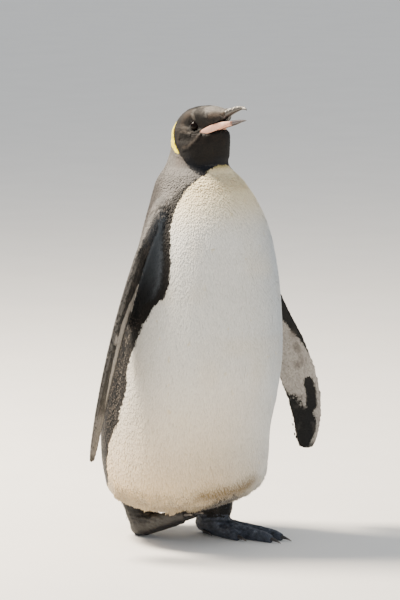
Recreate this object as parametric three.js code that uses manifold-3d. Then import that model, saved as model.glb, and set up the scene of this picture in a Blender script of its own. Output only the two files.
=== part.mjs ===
// King penguin, life size, walking with one heel down and the bill parted.
// Millimetres. +Z is up, the breast faces -Y and the bird's left side is +X.
// The origin is the middle of the bounding box's footprint, on the floor.

import * as THREE from 'three';
import { mergeVertices } from 'three/addons/utils/BufferGeometryUtils.js';
import Module from 'manifold-3d';

const wasm = await Module();
wasm.setup();

// ---------------------------------------------------------------- sizes

// Clearance left between two pieces that touch.
const GAP = 0.3;

// The body from the tail root up to the bill base, one row for each station.
// front and back are its side-view outline as [y, z], halfWidth its widest half breadth,
// widest where that lies from front 0 to back 1, and blunt how square the front half is.
const BODY_STATIONS = [
  { name: 'tail root', front: [88, 58], back: [106, 68], halfWidth: 18, widest: 0.5, blunt: 2.2 },
  { name: 'vent', front: [56, 56], back: [124, 77], halfWidth: 57, widest: 0.5, blunt: 2.2 },
  { name: 'underside', front: [0, 58], back: [136, 88], halfWidth: 89, widest: 0.5, blunt: 2.2 },
  { name: 'lower belly', front: [-64, 66], back: [144, 102], halfWidth: 112, widest: 0.5, blunt: 2.2 },
  { name: 'belly fold', front: [-114, 86], back: [146, 121], halfWidth: 128, widest: 0.5, blunt: 2.2 },
  { name: 'rump', front: [-119, 126], back: [150, 150], halfWidth: 136, widest: 0.49, blunt: 2.2 },
  { name: 'hips', front: [-119, 180], back: [151, 192], halfWidth: 139, widest: 0.48, blunt: 2.2 },
  { name: 'belly', front: [-133, 245], back: [147, 244], halfWidth: 140, widest: 0.48, blunt: 2.2 },
  { name: 'waist', front: [-142, 310], back: [131, 310], halfWidth: 138, widest: 0.5, blunt: 2.2 },
  { name: 'ribs', front: [-138, 388], back: [107, 388], halfWidth: 131, widest: 0.52, blunt: 2.2 },
  { name: 'breast', front: [-131, 450], back: [90, 450], halfWidth: 122, widest: 0.53, blunt: 2.2 },
  { name: 'shoulder', front: [-121, 510], back: [77, 510], halfWidth: 108, widest: 0.55, blunt: 2.2 },
  { name: 'shoulder top', front: [-104, 553], back: [70, 555], halfWidth: 92, widest: 0.54, blunt: 2.2 },
  { name: 'neck foot', front: [-81, 591], back: [68, 590], halfWidth: 73, widest: 0.52, blunt: 2.2 },
  { name: 'collar', front: [-53, 619], back: [55, 617], halfWidth: 50, widest: 0.5, blunt: 2.2 },
  { name: 'neck', front: [-62, 640], back: [50, 643], halfWidth: 43, widest: 0.5, blunt: 2.2 },
  { name: 'throat', front: [-74, 662], back: [50, 662], halfWidth: 41, widest: 0.53, blunt: 2.1 },
  { name: 'jaw', front: [-81, 679], back: [49, 675], halfWidth: 38.5, widest: 0.58, blunt: 1.9 },
  { name: 'gape', front: [-84, 685.5], back: [40.5, 688], halfWidth: 33, widest: 0.66, blunt: 1.5 },
  { name: 'head back', front: [-87, 688], back: [28, 701], halfWidth: 31, widest: 0.64, blunt: 1.5 },
  { name: 'crown', front: [-90, 690], back: [5, 714], halfWidth: 28.5, widest: 0.64, blunt: 1.6 },
  { name: 'forehead', front: [-93, 690.5], back: [-29, 721], halfWidth: 24.5, widest: 0.6, blunt: 1.8 },
  { name: 'face', front: [-96, 693], back: [-67, 721.5], halfWidth: 17, widest: 0.52, blunt: 2 },
  { name: 'bill base', front: [-98, 695], back: [-97, 718.5], halfWidth: 9, widest: 0.5, blunt: 2 },
];
const BACK_SQUARENESS = 2.2;
const BODY_SIDES = 28;
const BODY_RINGS = 41;

// Sideways sway of the body over the standing leg: at the belly, the shoulders and the head.
const SWAY = { belly: -9, shoulder: 8, head: 2 };
const SWAY_HEIGHTS = { belly: 60, shoulder: 520, neck: 560, head: 720 };
// The belly sags on the side of the trailing leg and the sag fades out upwards.
const SAG_SLOPE = 0.12;
const SAG_HEIGHTS = { full: 95, gone: 240 };

// The head turns a little to the bird's right on the neck.
const HEAD_AXIS_Y = -12;
const HEAD_TURN = 15;
const TURN_HEIGHTS = { starts: 600, full: 668 };

// Lines in side view that part the body into its regions, as [y, z].
const HEAD_LINE = { back: [120, 685], front: [-140, 588] };
const NECK_HEIGHT = 588;
const FLANK_LINE = [[-60, 640], [-46, 480], [-26, 400], [8, 310], [50, 200], [104, 110], [150, 30]];

// On the head, a place is given by its reach ahead of the neck axis, its distance
// out from the middle and its height, all before the head turns.
const EYE = { ahead: 23, out: 23.4, height: 689, radius: 8 };
const UPPER_BILL = [
  { ahead: 52, halfWidth: 11, low: 688, high: 707 },
  { ahead: 75, halfWidth: 8.6, low: 699.6, high: 715.8 },
  { ahead: 96, halfWidth: 6.6, low: 709.4, high: 722.4 },
  { ahead: 117, halfWidth: 4.8, low: 717.5, high: 727.5 },
  { ahead: 133, halfWidth: 3.2, low: 722.8, high: 729.2 },
  { ahead: 143, halfWidth: 1.9, low: 723.5, high: 727.7 },
  { ahead: 149, halfWidth: 0.7, low: 722.6, high: 724.2 },
];
const LOWER_BILL = [
  { ahead: 50, halfWidth: 12, low: 678, high: 687 },
  { ahead: 73, halfWidth: 8.4, low: 686.8, high: 695.4 },
  { ahead: 94, halfWidth: 5.6, low: 691.8, high: 701.4 },
  { ahead: 115, halfWidth: 4, low: 696.8, high: 705.2 },
  { ahead: 133, halfWidth: 2.6, low: 702.6, high: 707.2 },
  { ahead: 147, halfWidth: 0.8, low: 706, high: 707.7 },
];
const BILL_SIDES = 10;
const BILL_RINGS = 11;
// The horn plate along each side of the lower bill, from the mouth corner forwards.
const PLATE = [
  { ahead: 37, out: 24, height: 678.2, halfHeight: 2.2 },
  { ahead: 52, out: 20, height: 683.2, halfHeight: 5.6 },
  { ahead: 70, out: 13, height: 690.4, halfHeight: 6.2 },
  { ahead: 88, out: 7.6, height: 696.2, halfHeight: 4.2 },
  { ahead: 106, out: 4.6, height: 700.4, halfHeight: 2 },
];
const PLATE_THICKNESS = 4;
const PLATE_RINGS = 7;
const PLATE_SIDES = 8;
// The slit of the parted bill, from the mouth corner out past the face.
const MOUTH = { corner: [32, 680], front: [120, 714.5], cornerGap: 1.2, frontGap: 15 };

// Flippers: chord and thickness from shoulder 0 to tip 1, along the middle line of the blade.
const FLIPPER_SECTIONS = [
  { along: 0, chord: 62, thick: 34 },
  { along: 0.1, chord: 66, thick: 25 },
  { along: 0.2, chord: 71, thick: 16 },
  { along: 0.34, chord: 74, thick: 12.5 },
  { along: 0.5, chord: 72, thick: 11 },
  { along: 0.7, chord: 66, thick: 9 },
  { along: 0.85, chord: 55, thick: 7 },
  { along: 0.95, chord: 41, thick: 5.5 },
  { along: 0.985, chord: 27, thick: 4.4 },
  { along: 1, chord: 10, thick: 3 },
];
const FLIPPER_RINGS = 17;
const FLIPPER_SIDES = 12;
const FLIPPER_FRONT_EDGE_BLUNTNESS = 0.36;
const FLIPPERS = {
  right: {
    line: [[-62, 6, 562], [-112, 7, 480], [-157, 7, 383], [-196, 5, 280], [-213, 7, 215], [-222, 14, 150]],
    leading: [-0.87, -0.49],
  },
  left: {
    line: [[66, 0, 558], [110, -6, 474], [149, -11, 378], [201, -30, 280], [223, -41, 205], [215, -51, 126]],
    leading: [0.72, -0.69],
  },
};

// Feet, measured from the heel. A toe runs through [outwards, ahead, radius] and is a little
// narrower than high; the heel through [outwards, ahead, radius across, radius up].
const TOES = {
  inner: [[-6, 24, 15], [-13, 50, 11.5], [-18, 74, 10.5], [-20, 88, 7]],
  middle: [[0, 24, 19], [0, 60, 13.5], [0, 92, 11.5], [0, 122, 10], [0, 142, 6.5]],
  outer: [[5, 24, 16], [13, 62, 13.5], [19, 94, 11.5], [23, 124, 10], [25, 144, 6.5]],
};
const HIND_TOE = [[-15, 6, 9], [-18, 16, 7]];
const TOE_SINK = 1.2;
const TOE_WIDTH_RATIO = 0.86;
const TOE_RINGS = 6;
const TOE_SIDES = 8;
const CLAW = { length: 18, radius: 4.2, taper: 0.84, bend: 5, sunk: 5, rings: 4, sides: 6 };
const HEEL = [[0, -12, 5, 8], [0, -6, 15, 15], [0, 4, 21, 20], [0, 20, 23, 21], [0, 40, 21, 17]];
const HEEL_RINGS = 6;
const HEEL_SIDES = 12;
const WEB_OUTLINE = [[-10, 30], [-20, 82], [-11, 84], [0, 112], [12, 106], [25, 122], [17, 60], [8, 30]];
const WEB_THICKNESS = 5;
const WEB_RISE = 1.5;
const FEET = {
  left: { side: 1, heel: [36, 11], heading: 6, pitch: 0, sink: 0 },
  right: { side: -1, heel: [-56, 66], heading: 2, pitch: 21.5, sink: 1.4 },
};

// Feathered shanks from the ankle up into the belly: [x, y, z, sideways radius, fore-and-aft radius].
const SHANKS = {
  left: [[36, 10, 14, 19, 22], [41, -4, 34, 22, 31], [43, -8, 58, 25, 33], [42, -4, 104, 30, 34]],
  right: [[-58, 67, 20, 17, 18], [-60, 74, 40, 19, 20], [-61, 77, 62, 24, 25], [-58, 68, 104, 28, 30]],
};
const ANKLE_HEIGHT = { left: 33, right: 40 };
const SHANK_RINGS = 6;
const SHANK_SIDES = 14;

// The short stiff tail, folded down behind the heels.
const TAIL = [
  { at: [0, 104, 100], halfWidth: 36, halfThick: 16 },
  { at: [0, 126, 70], halfWidth: 31, halfThick: 11 },
  { at: [-1, 137, 42], halfWidth: 21, halfThick: 6.5 },
  { at: [-2, 143, 14], halfWidth: 11, halfThick: 3 },
];
const TAIL_RINGS = 7;
const TAIL_SIDES = 14;

// Sizes of the tools that cut: longer than the bird, wider than the bird, and as wide as the mouth.
const LARGE = 2000;
const CUT_HALF_WIDTH = 500;
const MOUTH_HALF_WIDTH = 60;
const EYE_SEGMENTS = { around: 12, up: 8 };
const WELD_DISTANCE = 1e-4;
const TANGENT_STEP = 0.01;

// ---------------------------------------------------------------- helpers

const vector = (x, y, z) => new THREE.Vector3(x, y, z);
const { smoothstep, degToRad, lerp, clamp } = THREE.MathUtils;
const listOf = (count, make) => Array.from({ length: count }, (nothing, i) => make(i));
const fractionsTo = (count) => listOf(count, (i) => i / (count - 1));
const anglesAround = (count) => listOf(count, (i) => 2 * Math.PI * i / count);

// A reader of rows of numbers as one smooth curve, from 0 at the first row to 1 at the last.
function numberCurve(rows) {
  const curves = listOf(rows[0].length, (column) => (
    new THREE.SplineCurve(rows.map((row, i) => new THREE.Vector2(i, row[column])))));
  return (t) => curves.map((curve) => curve.getPoint(t).y);
}

function signedVolume(geometry) {
  const position = geometry.attributes.position;
  const index = geometry.index.array;
  const [a, b, c] = [vector(0, 0, 0), vector(0, 0, 0), vector(0, 0, 0)];
  let volume = 0;
  for (let i = 0; i < index.length; i += 3) {
    a.fromBufferAttribute(position, index[i]);
    b.fromBufferAttribute(position, index[i + 1]);
    c.fromBufferAttribute(position, index[i + 2]);
    volume += a.dot(b.cross(c)) / 6;
  }
  return volume;
}

// A closed surface over rings with equal point counts, each end closed by a fan.
function loft(rings) {
  const sides = rings[0].length;
  const points = rings.flat();
  const faces = [];
  for (let ring = 0; ring + 1 < rings.length; ring += 1) {
    for (let side = 0; side < sides; side += 1) {
      const a = ring * sides + side;
      const b = ring * sides + (side + 1) % sides;
      faces.push(a, b, b + sides, a, b + sides, a + sides);
    }
  }
  const middleOf = (ring) => ring.reduce((sum, p) => sum.add(p), vector(0, 0, 0)).divideScalar(sides);
  const start = points.push(middleOf(rings[0])) - 1;
  const end = points.push(middleOf(rings[rings.length - 1])) - 1;
  const lastRing = (rings.length - 1) * sides;
  for (let side = 0; side < sides; side += 1) {
    const next = (side + 1) % sides;
    faces.push(start, next, side);
    faces.push(end, lastRing + side, lastRing + next);
  }
  const geometry = new THREE.BufferGeometry().setFromPoints(points);
  geometry.setIndex(faces);
  if (signedVolume(geometry) < 0) {
    geometry.setIndex(faces.reverse());
  }
  return geometry;
}

const power = (value, exponent) => Math.sign(value) * Math.abs(value) ** exponent;

const ellipseRing = (centre, across, up, sides) => anglesAround(sides).map((angle) => (
  centre.clone().addScaledVector(across, Math.cos(angle)).addScaledVector(up, Math.sin(angle))));

// A round tube of changing size along [x, y, z, radius across, radius up] rows.
function taperedTube(rows, rings, sides, across = vector(1, 0, 0)) {
  const read = numberCurve(rows);
  const placeAt = (t) => vector(...read(clamp(t, 0, 1)));
  return loft(fractionsTo(rings).map((t) => {
    const [radiusAcross, radiusUp] = read(t).slice(3);
    const along = placeAt(t + TANGENT_STEP).sub(placeAt(t - TANGENT_STEP)).normalize();
    const up = vector(0, 0, 0).crossVectors(across, along).normalize();
    const side = vector(0, 0, 0).crossVectors(along, up).normalize();
    return ellipseRing(placeAt(t), side.multiplyScalar(radiusAcross), up.multiplyScalar(radiusUp), sides);
  }));
}

function toSolid(geometry) {
  const bare = geometry.clone();
  bare.deleteAttribute('normal');
  bare.deleteAttribute('uv');
  const merged = mergeVertices(bare, WELD_DISTANCE);
  const vertProperties = new Float32Array(merged.attributes.position.array);
  const triVerts = new Uint32Array(merged.index.array);
  return new wasm.Manifold(new wasm.Mesh({ numProp: 3, vertProperties, triVerts }));
}

function toGeometry(solid) {
  const mesh = solid.getMesh();
  const geometry = new THREE.BufferGeometry();
  geometry.setAttribute('position', new THREE.BufferAttribute(mesh.vertProperties, 3));
  geometry.setIndex(new THREE.BufferAttribute(mesh.triVerts, 1));
  return geometry;
}

const joinAll = (solids) => solids.reduce((sum, solid) => sum.add(solid));
// The main body of a cut piece, without loose crumbs left at its corners.
const mainBody = (solid) => solid.decompose().reduce((a, b) => (a.volume() > b.volume() ? a : b));

function movePoints(geometry, move) {
  const position = geometry.attributes.position;
  const p = vector(0, 0, 0);
  for (let i = 0; i < position.count; i += 1) {
    move(p.fromBufferAttribute(position, i));
    position.setXYZ(i, p.x, p.y, p.z);
  }
  return geometry;
}

const aboveHeight = (height) => (
  toSolid(new THREE.BoxGeometry(LARGE, LARGE, LARGE).translate(0, 0, height + LARGE / 2)));

// A wall across the whole bird from an outline in side view, given as [y, z].
function sideViewPrism(outline, halfWidth = CUT_HALF_WIDTH) {
  const shape = new THREE.Shape(outline.map(([y, z]) => new THREE.Vector2(y, z)));
  const geometry = new THREE.ExtrudeGeometry(shape, { depth: 2 * halfWidth, bevelEnabled: false });
  geometry.translate(0, 0, -halfWidth);
  return toSolid(movePoints(geometry, (p) => p.set(p.z, p.x, p.y)));
}

// ---------------------------------------------------------------- pose of body and head

// Sway, sag and head turn, applied to a point of the straight bird.
function pose(p) {
  const leaning = smoothstep(p.z, SWAY_HEIGHTS.belly, SWAY_HEIGHTS.shoulder);
  const upright = smoothstep(p.z, SWAY_HEIGHTS.neck, SWAY_HEIGHTS.head);
  const shift = lerp(lerp(SWAY.belly, SWAY.shoulder, leaning), SWAY.head, upright);
  const sag = SAG_SLOPE * p.x * (1 - smoothstep(p.z, SAG_HEIGHTS.full, SAG_HEIGHTS.gone));
  const turn = -degToRad(HEAD_TURN) * smoothstep(p.z, TURN_HEIGHTS.starts, TURN_HEIGHTS.full);
  const [x, y] = [p.x, p.y - HEAD_AXIS_Y];
  p.x = x * Math.cos(turn) - y * Math.sin(turn) + shift;
  p.y = x * Math.sin(turn) + y * Math.cos(turn) + HEAD_AXIS_Y;
  p.z += sag;
  return p;
}

const onHead = (ahead, out, height) => vector(out, HEAD_AXIS_Y - ahead, height);
const posedSolid = (geometry) => toSolid(movePoints(geometry, pose));

// ---------------------------------------------------------------- body

const bodyRows = BODY_STATIONS.map((s) => [...s.front, ...s.back, s.halfWidth, s.widest, s.blunt]);
const readBody = numberCurve(bodyRows);

function bodyRing(t, grow) {
  const [frontY, frontZ, backY, backZ, halfWidth, widest, blunt] = readBody(t);
  const front = vector(0, frontY, frontZ);
  const back = vector(0, backY, backZ);
  const middle = front.clone().lerp(back, widest);
  const forward = front.clone().sub(back).normalize();
  const frontReach = middle.distanceTo(front) + grow;
  const backReach = middle.distanceTo(back) + grow;
  return anglesAround(BODY_SIDES).map((angle) => {
    const ahead = Math.cos(angle) > 0;
    const exponent = 2 / (ahead ? blunt : BACK_SQUARENESS);
    const reach = (ahead ? frontReach : backReach) * power(Math.cos(angle), exponent);
    const out = (halfWidth + grow) * power(Math.sin(angle), exponent);
    return middle.clone().addScaledVector(forward, reach).add(vector(out, 0, 0));
  });
}

const bodySolid = (grow) => posedSolid(loft(fractionsTo(BODY_RINGS).map((t) => bodyRing(t, grow))));

const body = bodySolid(0);
const bodyWithGap = bodySolid(GAP);

// ---------------------------------------------------------------- bill, plates and eyes

function billSolid(sections, grow) {
  const read = numberCurve(sections.map((s) => [s.ahead, s.halfWidth, s.low, s.high]));
  return posedSolid(loft(fractionsTo(BILL_RINGS).map((t) => {
    const [ahead, halfWidth, low, high] = read(t);
    const centre = onHead(t === 0 ? ahead - grow : ahead, 0, (low + high) / 2);
    const up = vector(0, 0, (high - low) / 2 + grow);
    return ellipseRing(centre, vector(halfWidth + grow, 0, 0), up, BILL_SIDES);
  })));
}

function plateSolid(side, grow) {
  const read = numberCurve(PLATE.map((s) => [s.ahead, s.out, s.height, s.halfHeight]));
  return posedSolid(loft(fractionsTo(PLATE_RINGS).map((t) => {
    const [ahead, out, height, halfHeight] = read(t);
    const thick = vector(PLATE_THICKNESS / 2 + grow, 0, 0);
    const up = vector(0, 0, halfHeight + grow);
    return ellipseRing(onHead(ahead, side * out, height), thick, up, PLATE_SIDES);
  })));
}

function eyeSolid(side, grow) {
  const ball = new THREE.SphereGeometry(EYE.radius + grow, EYE_SEGMENTS.around, EYE_SEGMENTS.up);
  const place = pose(onHead(EYE.ahead, side * EYE.out, EYE.height));
  return toSolid(ball.translate(place.x, place.y, place.z));
}

function mouthSlit() {
  const { corner, front, cornerGap, frontGap } = MOUTH;
  const place = ([ahead, height], rise) => [HEAD_AXIS_Y - ahead, height + rise];
  const lower = [place(corner, -cornerGap / 2), place(front, -frontGap / 2)];
  const upper = [place(front, frontGap / 2), place(corner, cornerGap / 2)];
  return sideViewPrism([...lower, ...upper], MOUTH_HALF_WIDTH);
}

const billUpper = billSolid(UPPER_BILL, 0);
const plates = { left: plateSolid(1, 0), right: plateSolid(-1, 0) };
const platesWithGap = joinAll([plateSolid(1, GAP), plateSolid(-1, GAP)]);
const billLower = billSolid(LOWER_BILL, 0).subtract(platesWithGap);
const eyes = { left: eyeSolid(1, 0), right: eyeSolid(-1, 0) };
const billWithGap = joinAll([billSolid(UPPER_BILL, GAP), billSolid(LOWER_BILL, GAP)]);
const eyesWithGap = joinAll([eyeSolid(1, GAP), eyeSolid(-1, GAP)]);
const setIntoHead = joinAll([billWithGap, platesWithGap, eyesWithGap]);

// ---------------------------------------------------------------- regions of the body

function aboveHeadLine(lift) {
  const [backY, backZ] = HEAD_LINE.back;
  const [frontY, frontZ] = HEAD_LINE.front;
  return sideViewPrism([[backY, backZ + lift], [frontY, frontZ + lift], [frontY, LARGE], [backY, LARGE]]);
}

function aheadOfFlankLine(lift) {
  const line = FLANK_LINE.map(([y, z]) => [y + lift, z]);
  const [top, bottom] = [line[0][1], line[line.length - 1][1]];
  return sideViewPrism([[-LARGE, top], ...line, [-LARGE, bottom]]);
}

const head = mainBody(body.intersect(aboveHeadLine(0)).subtract(setIntoHead).subtract(mouthSlit()));
const belowHead = body.subtract(aboveHeadLine(-GAP));
const neck = belowHead.intersect(aboveHeight(NECK_HEIGHT));
const trunk = belowHead.subtract(aboveHeight(NECK_HEIGHT - GAP));
const trunkFront = trunk.intersect(aheadOfFlankLine(0));
const trunkBack = trunk.subtract(aheadOfFlankLine(GAP));

// ---------------------------------------------------------------- flippers

function flipperSolid({ line, leading }) {
  const middle = new THREE.CatmullRomCurve3(line.map((p) => vector(...p)));
  const read = numberCurve(FLIPPER_SECTIONS.map((s) => [s.along, s.chord, s.thick]));
  return toSolid(loft(fractionsTo(FLIPPER_RINGS).map((t) => {
    const [along, chord, thick] = read(t);
    const at = clamp(along, 0, 1);
    const tangent = middle.getTangentAt(at);
    const edge = vector(...leading, 0).projectOnPlane(tangent).normalize();
    const face = vector(0, 0, 0).crossVectors(tangent, edge).normalize();
    return anglesAround(FLIPPER_SIDES).map((angle) => {
      const depth = Math.sin(angle) * (1 + FLIPPER_FRONT_EDGE_BLUNTNESS * Math.cos(angle));
      return middle.getPointAt(at)
        .addScaledVector(edge, chord / 2 * Math.cos(angle))
        .addScaledVector(face, thick / 2 * depth);
    });
  })));
}

const flippers = {
  left: flipperSolid(FLIPPERS.left).subtract(bodyWithGap),
  right: flipperSolid(FLIPPERS.right).subtract(bodyWithGap),
};

// ---------------------------------------------------------------- legs and feet

// Places a shape built outwards, ahead and up from the heel onto the floor in the foot's stance.
function setFoot(geometry, { side, heel, heading, pitch, sink }) {
  movePoints(geometry, (p) => p.set(side * p.x, -p.y, p.z));
  geometry.applyMatrix4(new THREE.Matrix4().makeRotationX(degToRad(-pitch)));
  geometry.applyMatrix4(new THREE.Matrix4().makeRotationZ(degToRad(side * heading)));
  geometry.translate(heel[0], heel[1], -sink);
  if (signedVolume(geometry) < 0) {
    geometry.setIndex([...geometry.index.array].reverse());
  }
  return toSolid(geometry);
}

// A toe or heel row [outwards, ahead, radius across, radius up] lies just sunk into the floor.
const floorRows = (rows, grow) => rows.map(([out, ahead, across, up]) => (
  [out, ahead, up - TOE_SINK, across + grow, up + grow]));

function toeSolid(toe, stance, grow) {
  const rows = toe.map(([out, ahead, radius]) => [out, ahead, radius * TOE_WIDTH_RATIO, radius]);
  return setFoot(taperedTube(floorRows(rows, grow), TOE_RINGS, TOE_SIDES), stance);
}

function webSolid(stance) {
  const outline = new THREE.Shape(WEB_OUTLINE.map(([x, y]) => new THREE.Vector2(x, y)));
  const web = new THREE.ExtrudeGeometry(outline, { depth: WEB_THICKNESS, bevelEnabled: false });
  web.deleteAttribute('normal');
  web.deleteAttribute('uv');
  return setFoot(mergeVertices(web).translate(0, 0, WEB_RISE), stance);
}

function clawSolid(toe, stance, grow) {
  const [before, tip] = toe.slice(-2);
  const ahead = new THREE.Vector2(tip[0] - before[0], tip[1] - before[1]).normalize();
  const rows = fractionsTo(CLAW.rings).map((t) => {
    const reach = t * (CLAW.length + CLAW.sunk) - CLAW.sunk;
    const radius = CLAW.radius * (1 - CLAW.taper * t) + grow;
    return [tip[0] + ahead.x * reach, tip[1] + ahead.y * reach, tip[2] - CLAW.bend * t * t, radius, radius];
  });
  return setFoot(taperedTube(rows, CLAW.rings, CLAW.sides), stance);
}

function footFlesh(stance, grow) {
  const toes = Object.values(TOES).map((toe) => toeSolid(toe, stance, grow));
  const heel = setFoot(taperedTube(floorRows(HEEL, grow), HEEL_RINGS, HEEL_SIDES), stance);
  return joinAll([...toes, heel, webSolid(stance)]);
}

const CLAWED = { ...TOES, hind: HIND_TOE };

function legAndFoot(name) {
  const stance = FEET[name];
  const shank = toSolid(taperedTube(SHANKS[name], SHANK_RINGS, SHANK_SIDES));
  const aboveAnkle = (lift) => aboveHeight(ANKLE_HEIGHT[name] + lift);
  const clawsWithGap = joinAll(Object.values(CLAWED).map((toe) => clawSolid(toe, stance, GAP)));
  const ankle = shank.subtract(aboveAnkle(0));
  const foot = footFlesh(stance, 0).add(ankle).subtract(clawsWithGap).intersect(aboveHeight(0));
  const leg = shank.intersect(aboveAnkle(GAP)).subtract(footFlesh(stance, GAP));
  const clawOf = (toe) => clawSolid(toe, stance, 0).intersect(aboveHeight(0));
  const claws = Object.entries(CLAWED).map(([name, toe]) => [name, clawOf(toe)]);
  return { foot: foot.subtract(bodyWithGap), leg: leg.subtract(bodyWithGap), claws };
}

const tailRows = TAIL.map(({ at, halfWidth, halfThick }) => [...at, halfWidth, halfThick]);
const tail = toSolid(taperedTube(tailRows, TAIL_RINGS, TAIL_SIDES)).subtract(bodyWithGap);

// ---------------------------------------------------------------- the model

const SURFACES = {
  headFeathers: { color: 0x211d19, roughness: 0.8, metalness: 0 },
  greyFeathers: { color: 0x77777a, roughness: 0.75, metalness: 0 },
  whiteFeathers: { color: 0xece6d8, roughness: 0.8, metalness: 0 },
  darkFeathers: { color: 0x35312f, roughness: 0.75, metalness: 0 },
  footSkin: { color: 0x3a3a3b, roughness: 0.6, metalness: 0 },
  claw: { color: 0x2b2826, roughness: 0.35, metalness: 0 },
  billHorn: { color: 0x3f3a37, roughness: 0.4, metalness: 0 },
  plateHorn: { color: 0xd8b5a4, roughness: 0.4, metalness: 0 },
  eye: { color: 0x1d120b, roughness: 0.1, metalness: 0 },
};

const penguin = new THREE.Group();

function addPiece(name, solid, surface) {
  const mesh = new THREE.Mesh(toGeometry(solid), new THREE.MeshStandardMaterial(SURFACES[surface]));
  mesh.name = name;
  penguin.add(mesh);
}

addPiece('head', head, 'headFeathers');
addPiece('neck', neck, 'greyFeathers');
addPiece('breast_and_belly', trunkFront, 'whiteFeathers');
addPiece('back', trunkBack, 'greyFeathers');
addPiece('tail', tail, 'darkFeathers');
addPiece('bill_upper', billUpper, 'billHorn');
addPiece('bill_lower', billLower, 'billHorn');
for (const side of ['left', 'right']) {
  const { foot, leg, claws } = legAndFoot(side);
  addPiece(`bill_plate_${side}`, plates[side], 'plateHorn');
  addPiece(`eye_${side}`, eyes[side], 'eye');
  addPiece(`flipper_${side}`, flippers[side], 'darkFeathers');
  addPiece(`leg_${side}`, leg, 'darkFeathers');
  addPiece(`foot_${side}`, foot, 'footSkin');
  claws.forEach(([toe, claw]) => addPiece(`claw_${side}_${toe}`, claw, 'claw'));
}

// The origin goes to the middle of the footprint, on the floor.
const bounds = new THREE.Box3().setFromObject(penguin);
const centre = bounds.getCenter(vector(0, 0, 0));
penguin.position.set(-centre.x, -centre.y, -bounds.min.z);

export default penguin;
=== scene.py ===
"""A life-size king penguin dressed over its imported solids: skin, plumage, bill, eyes and claws."""

import math

import bpy
import numpy as np
from bpy.props import FloatProperty, FloatVectorProperty, PointerProperty
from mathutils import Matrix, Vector
from mathutils.bvhtree import BVHTree
from mathutils.kdtree import KDTree


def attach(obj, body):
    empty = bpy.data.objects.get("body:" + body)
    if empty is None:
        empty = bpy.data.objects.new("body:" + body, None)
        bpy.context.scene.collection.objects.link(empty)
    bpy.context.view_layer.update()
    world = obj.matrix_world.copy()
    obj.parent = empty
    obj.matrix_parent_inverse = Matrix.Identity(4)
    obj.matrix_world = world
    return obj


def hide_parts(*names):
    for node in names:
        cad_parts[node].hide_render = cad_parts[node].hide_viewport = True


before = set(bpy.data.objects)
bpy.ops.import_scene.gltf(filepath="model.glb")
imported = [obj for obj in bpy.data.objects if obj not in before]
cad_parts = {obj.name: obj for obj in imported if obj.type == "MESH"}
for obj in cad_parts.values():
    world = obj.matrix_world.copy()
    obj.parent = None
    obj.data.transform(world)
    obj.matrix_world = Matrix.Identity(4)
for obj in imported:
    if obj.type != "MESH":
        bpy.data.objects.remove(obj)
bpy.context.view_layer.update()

bl_info = {
    "name": "King penguin",
    "version": (1, 0, 0),
    "blender": (4, 5, 0),
    "location": "View3D > Sidebar > Penguin",
    "description": "Builds a life-size king penguin with feathers over its solid frame",
    "category": "Add Mesh",
}

MM = 0.001
SIDES = {"left": 1, "right": -1}

# ---------------------------------------------------------------- shape of the bird, in millimetres

# The solids' origin, seen from the axis that the stations below are drawn on.
ORIGIN_SHIFT = np.array([-2.296, 2.466, 0.0])

# Stations of the body from the tail root to the bill base:
# front y and z, back y and z, half width, where it is widest, and how square the front is.
STATIONS = np.array([
    [88, 58, 106, 68, 18, 0.5, 2.2],
    [56, 56, 124, 77, 57, 0.5, 2.2],
    [0, 58, 136, 88, 89, 0.5, 2.2],
    [-64, 66, 144, 102, 112, 0.5, 2.2],
    [-114, 86, 146, 121, 128, 0.5, 2.2],
    [-119, 126, 150, 150, 136, 0.49, 2.2],
    [-119, 180, 151, 192, 139, 0.48, 2.2],
    [-133, 245, 147, 244, 140, 0.48, 2.2],
    [-142, 310, 131, 310, 138, 0.5, 2.2],
    [-138, 388, 107, 388, 131, 0.52, 2.2],
    [-131, 450, 90, 450, 122, 0.53, 2.2],
    [-121, 510, 77, 510, 108, 0.55, 2.2],
    [-104, 553, 70, 555, 92, 0.54, 2.2],
    [-81, 591, 68, 590, 73, 0.52, 2.2],
    [-53, 619, 55, 617, 50, 0.5, 2.2],
    [-62, 640, 50, 643, 43, 0.5, 2.2],
    [-74, 662, 50, 662, 41, 0.53, 2.1],
    [-81, 679, 49, 675, 38.5, 0.58, 1.9],
    [-84, 685.5, 40.5, 688, 33, 0.66, 1.5],
    [-87, 688, 28, 701, 31, 0.64, 1.5],
    [-90, 690, 5, 714, 28.5, 0.64, 1.6],
    [-93, 690.5, -29, 721, 24.5, 0.6, 1.8],
    [-96, 693, -67, 721.5, 17, 0.52, 2],
    [-98, 695, -97, 718.5, 9, 0.5, 2],
])
TOP_STATION = len(STATIONS) - 1
BACK_SQUARENESS = 2.2
SWAY = {"belly": -9, "shoulder": 8, "head": 2}
SWAY_HEIGHTS = {"belly": 60, "shoulder": 520, "neck": 560, "head": 720}
SAG = {"slope": 0.12, "full": 95, "gone": 240}
HEAD_AXIS_Y = -12
HEAD_TURN = math.radians(15)
TURN_HEIGHTS = (600, 668)

# Middle line of each flipper, the side its leading edge faces, and chord and thickness along it.
FLIPPER_LINES = {
    "right": [
        [-62, 6, 562], [-112, 7, 480], [-157, 7, 383], [-196, 5, 280], [-213, 7, 215], [-222, 14, 150],
    ],
    "left": [
        [66, 0, 558], [110, -6, 474], [149, -11, 378], [201, -30, 280], [223, -41, 205], [215, -51, 126],
    ],
}
FLIPPER_LEADING = {"right": (-0.87, -0.49, 0), "left": (0.72, -0.69, 0)}
FLIPPER_SECTIONS = np.array([
    [0, 62, 34], [0.1, 66, 25], [0.2, 71, 16], [0.34, 74, 12.5], [0.5, 72, 11], [0.7, 66, 9],
    [0.85, 55, 7], [0.95, 41, 5.5], [0.985, 27, 4.4], [1, 10, 3],
])
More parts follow.
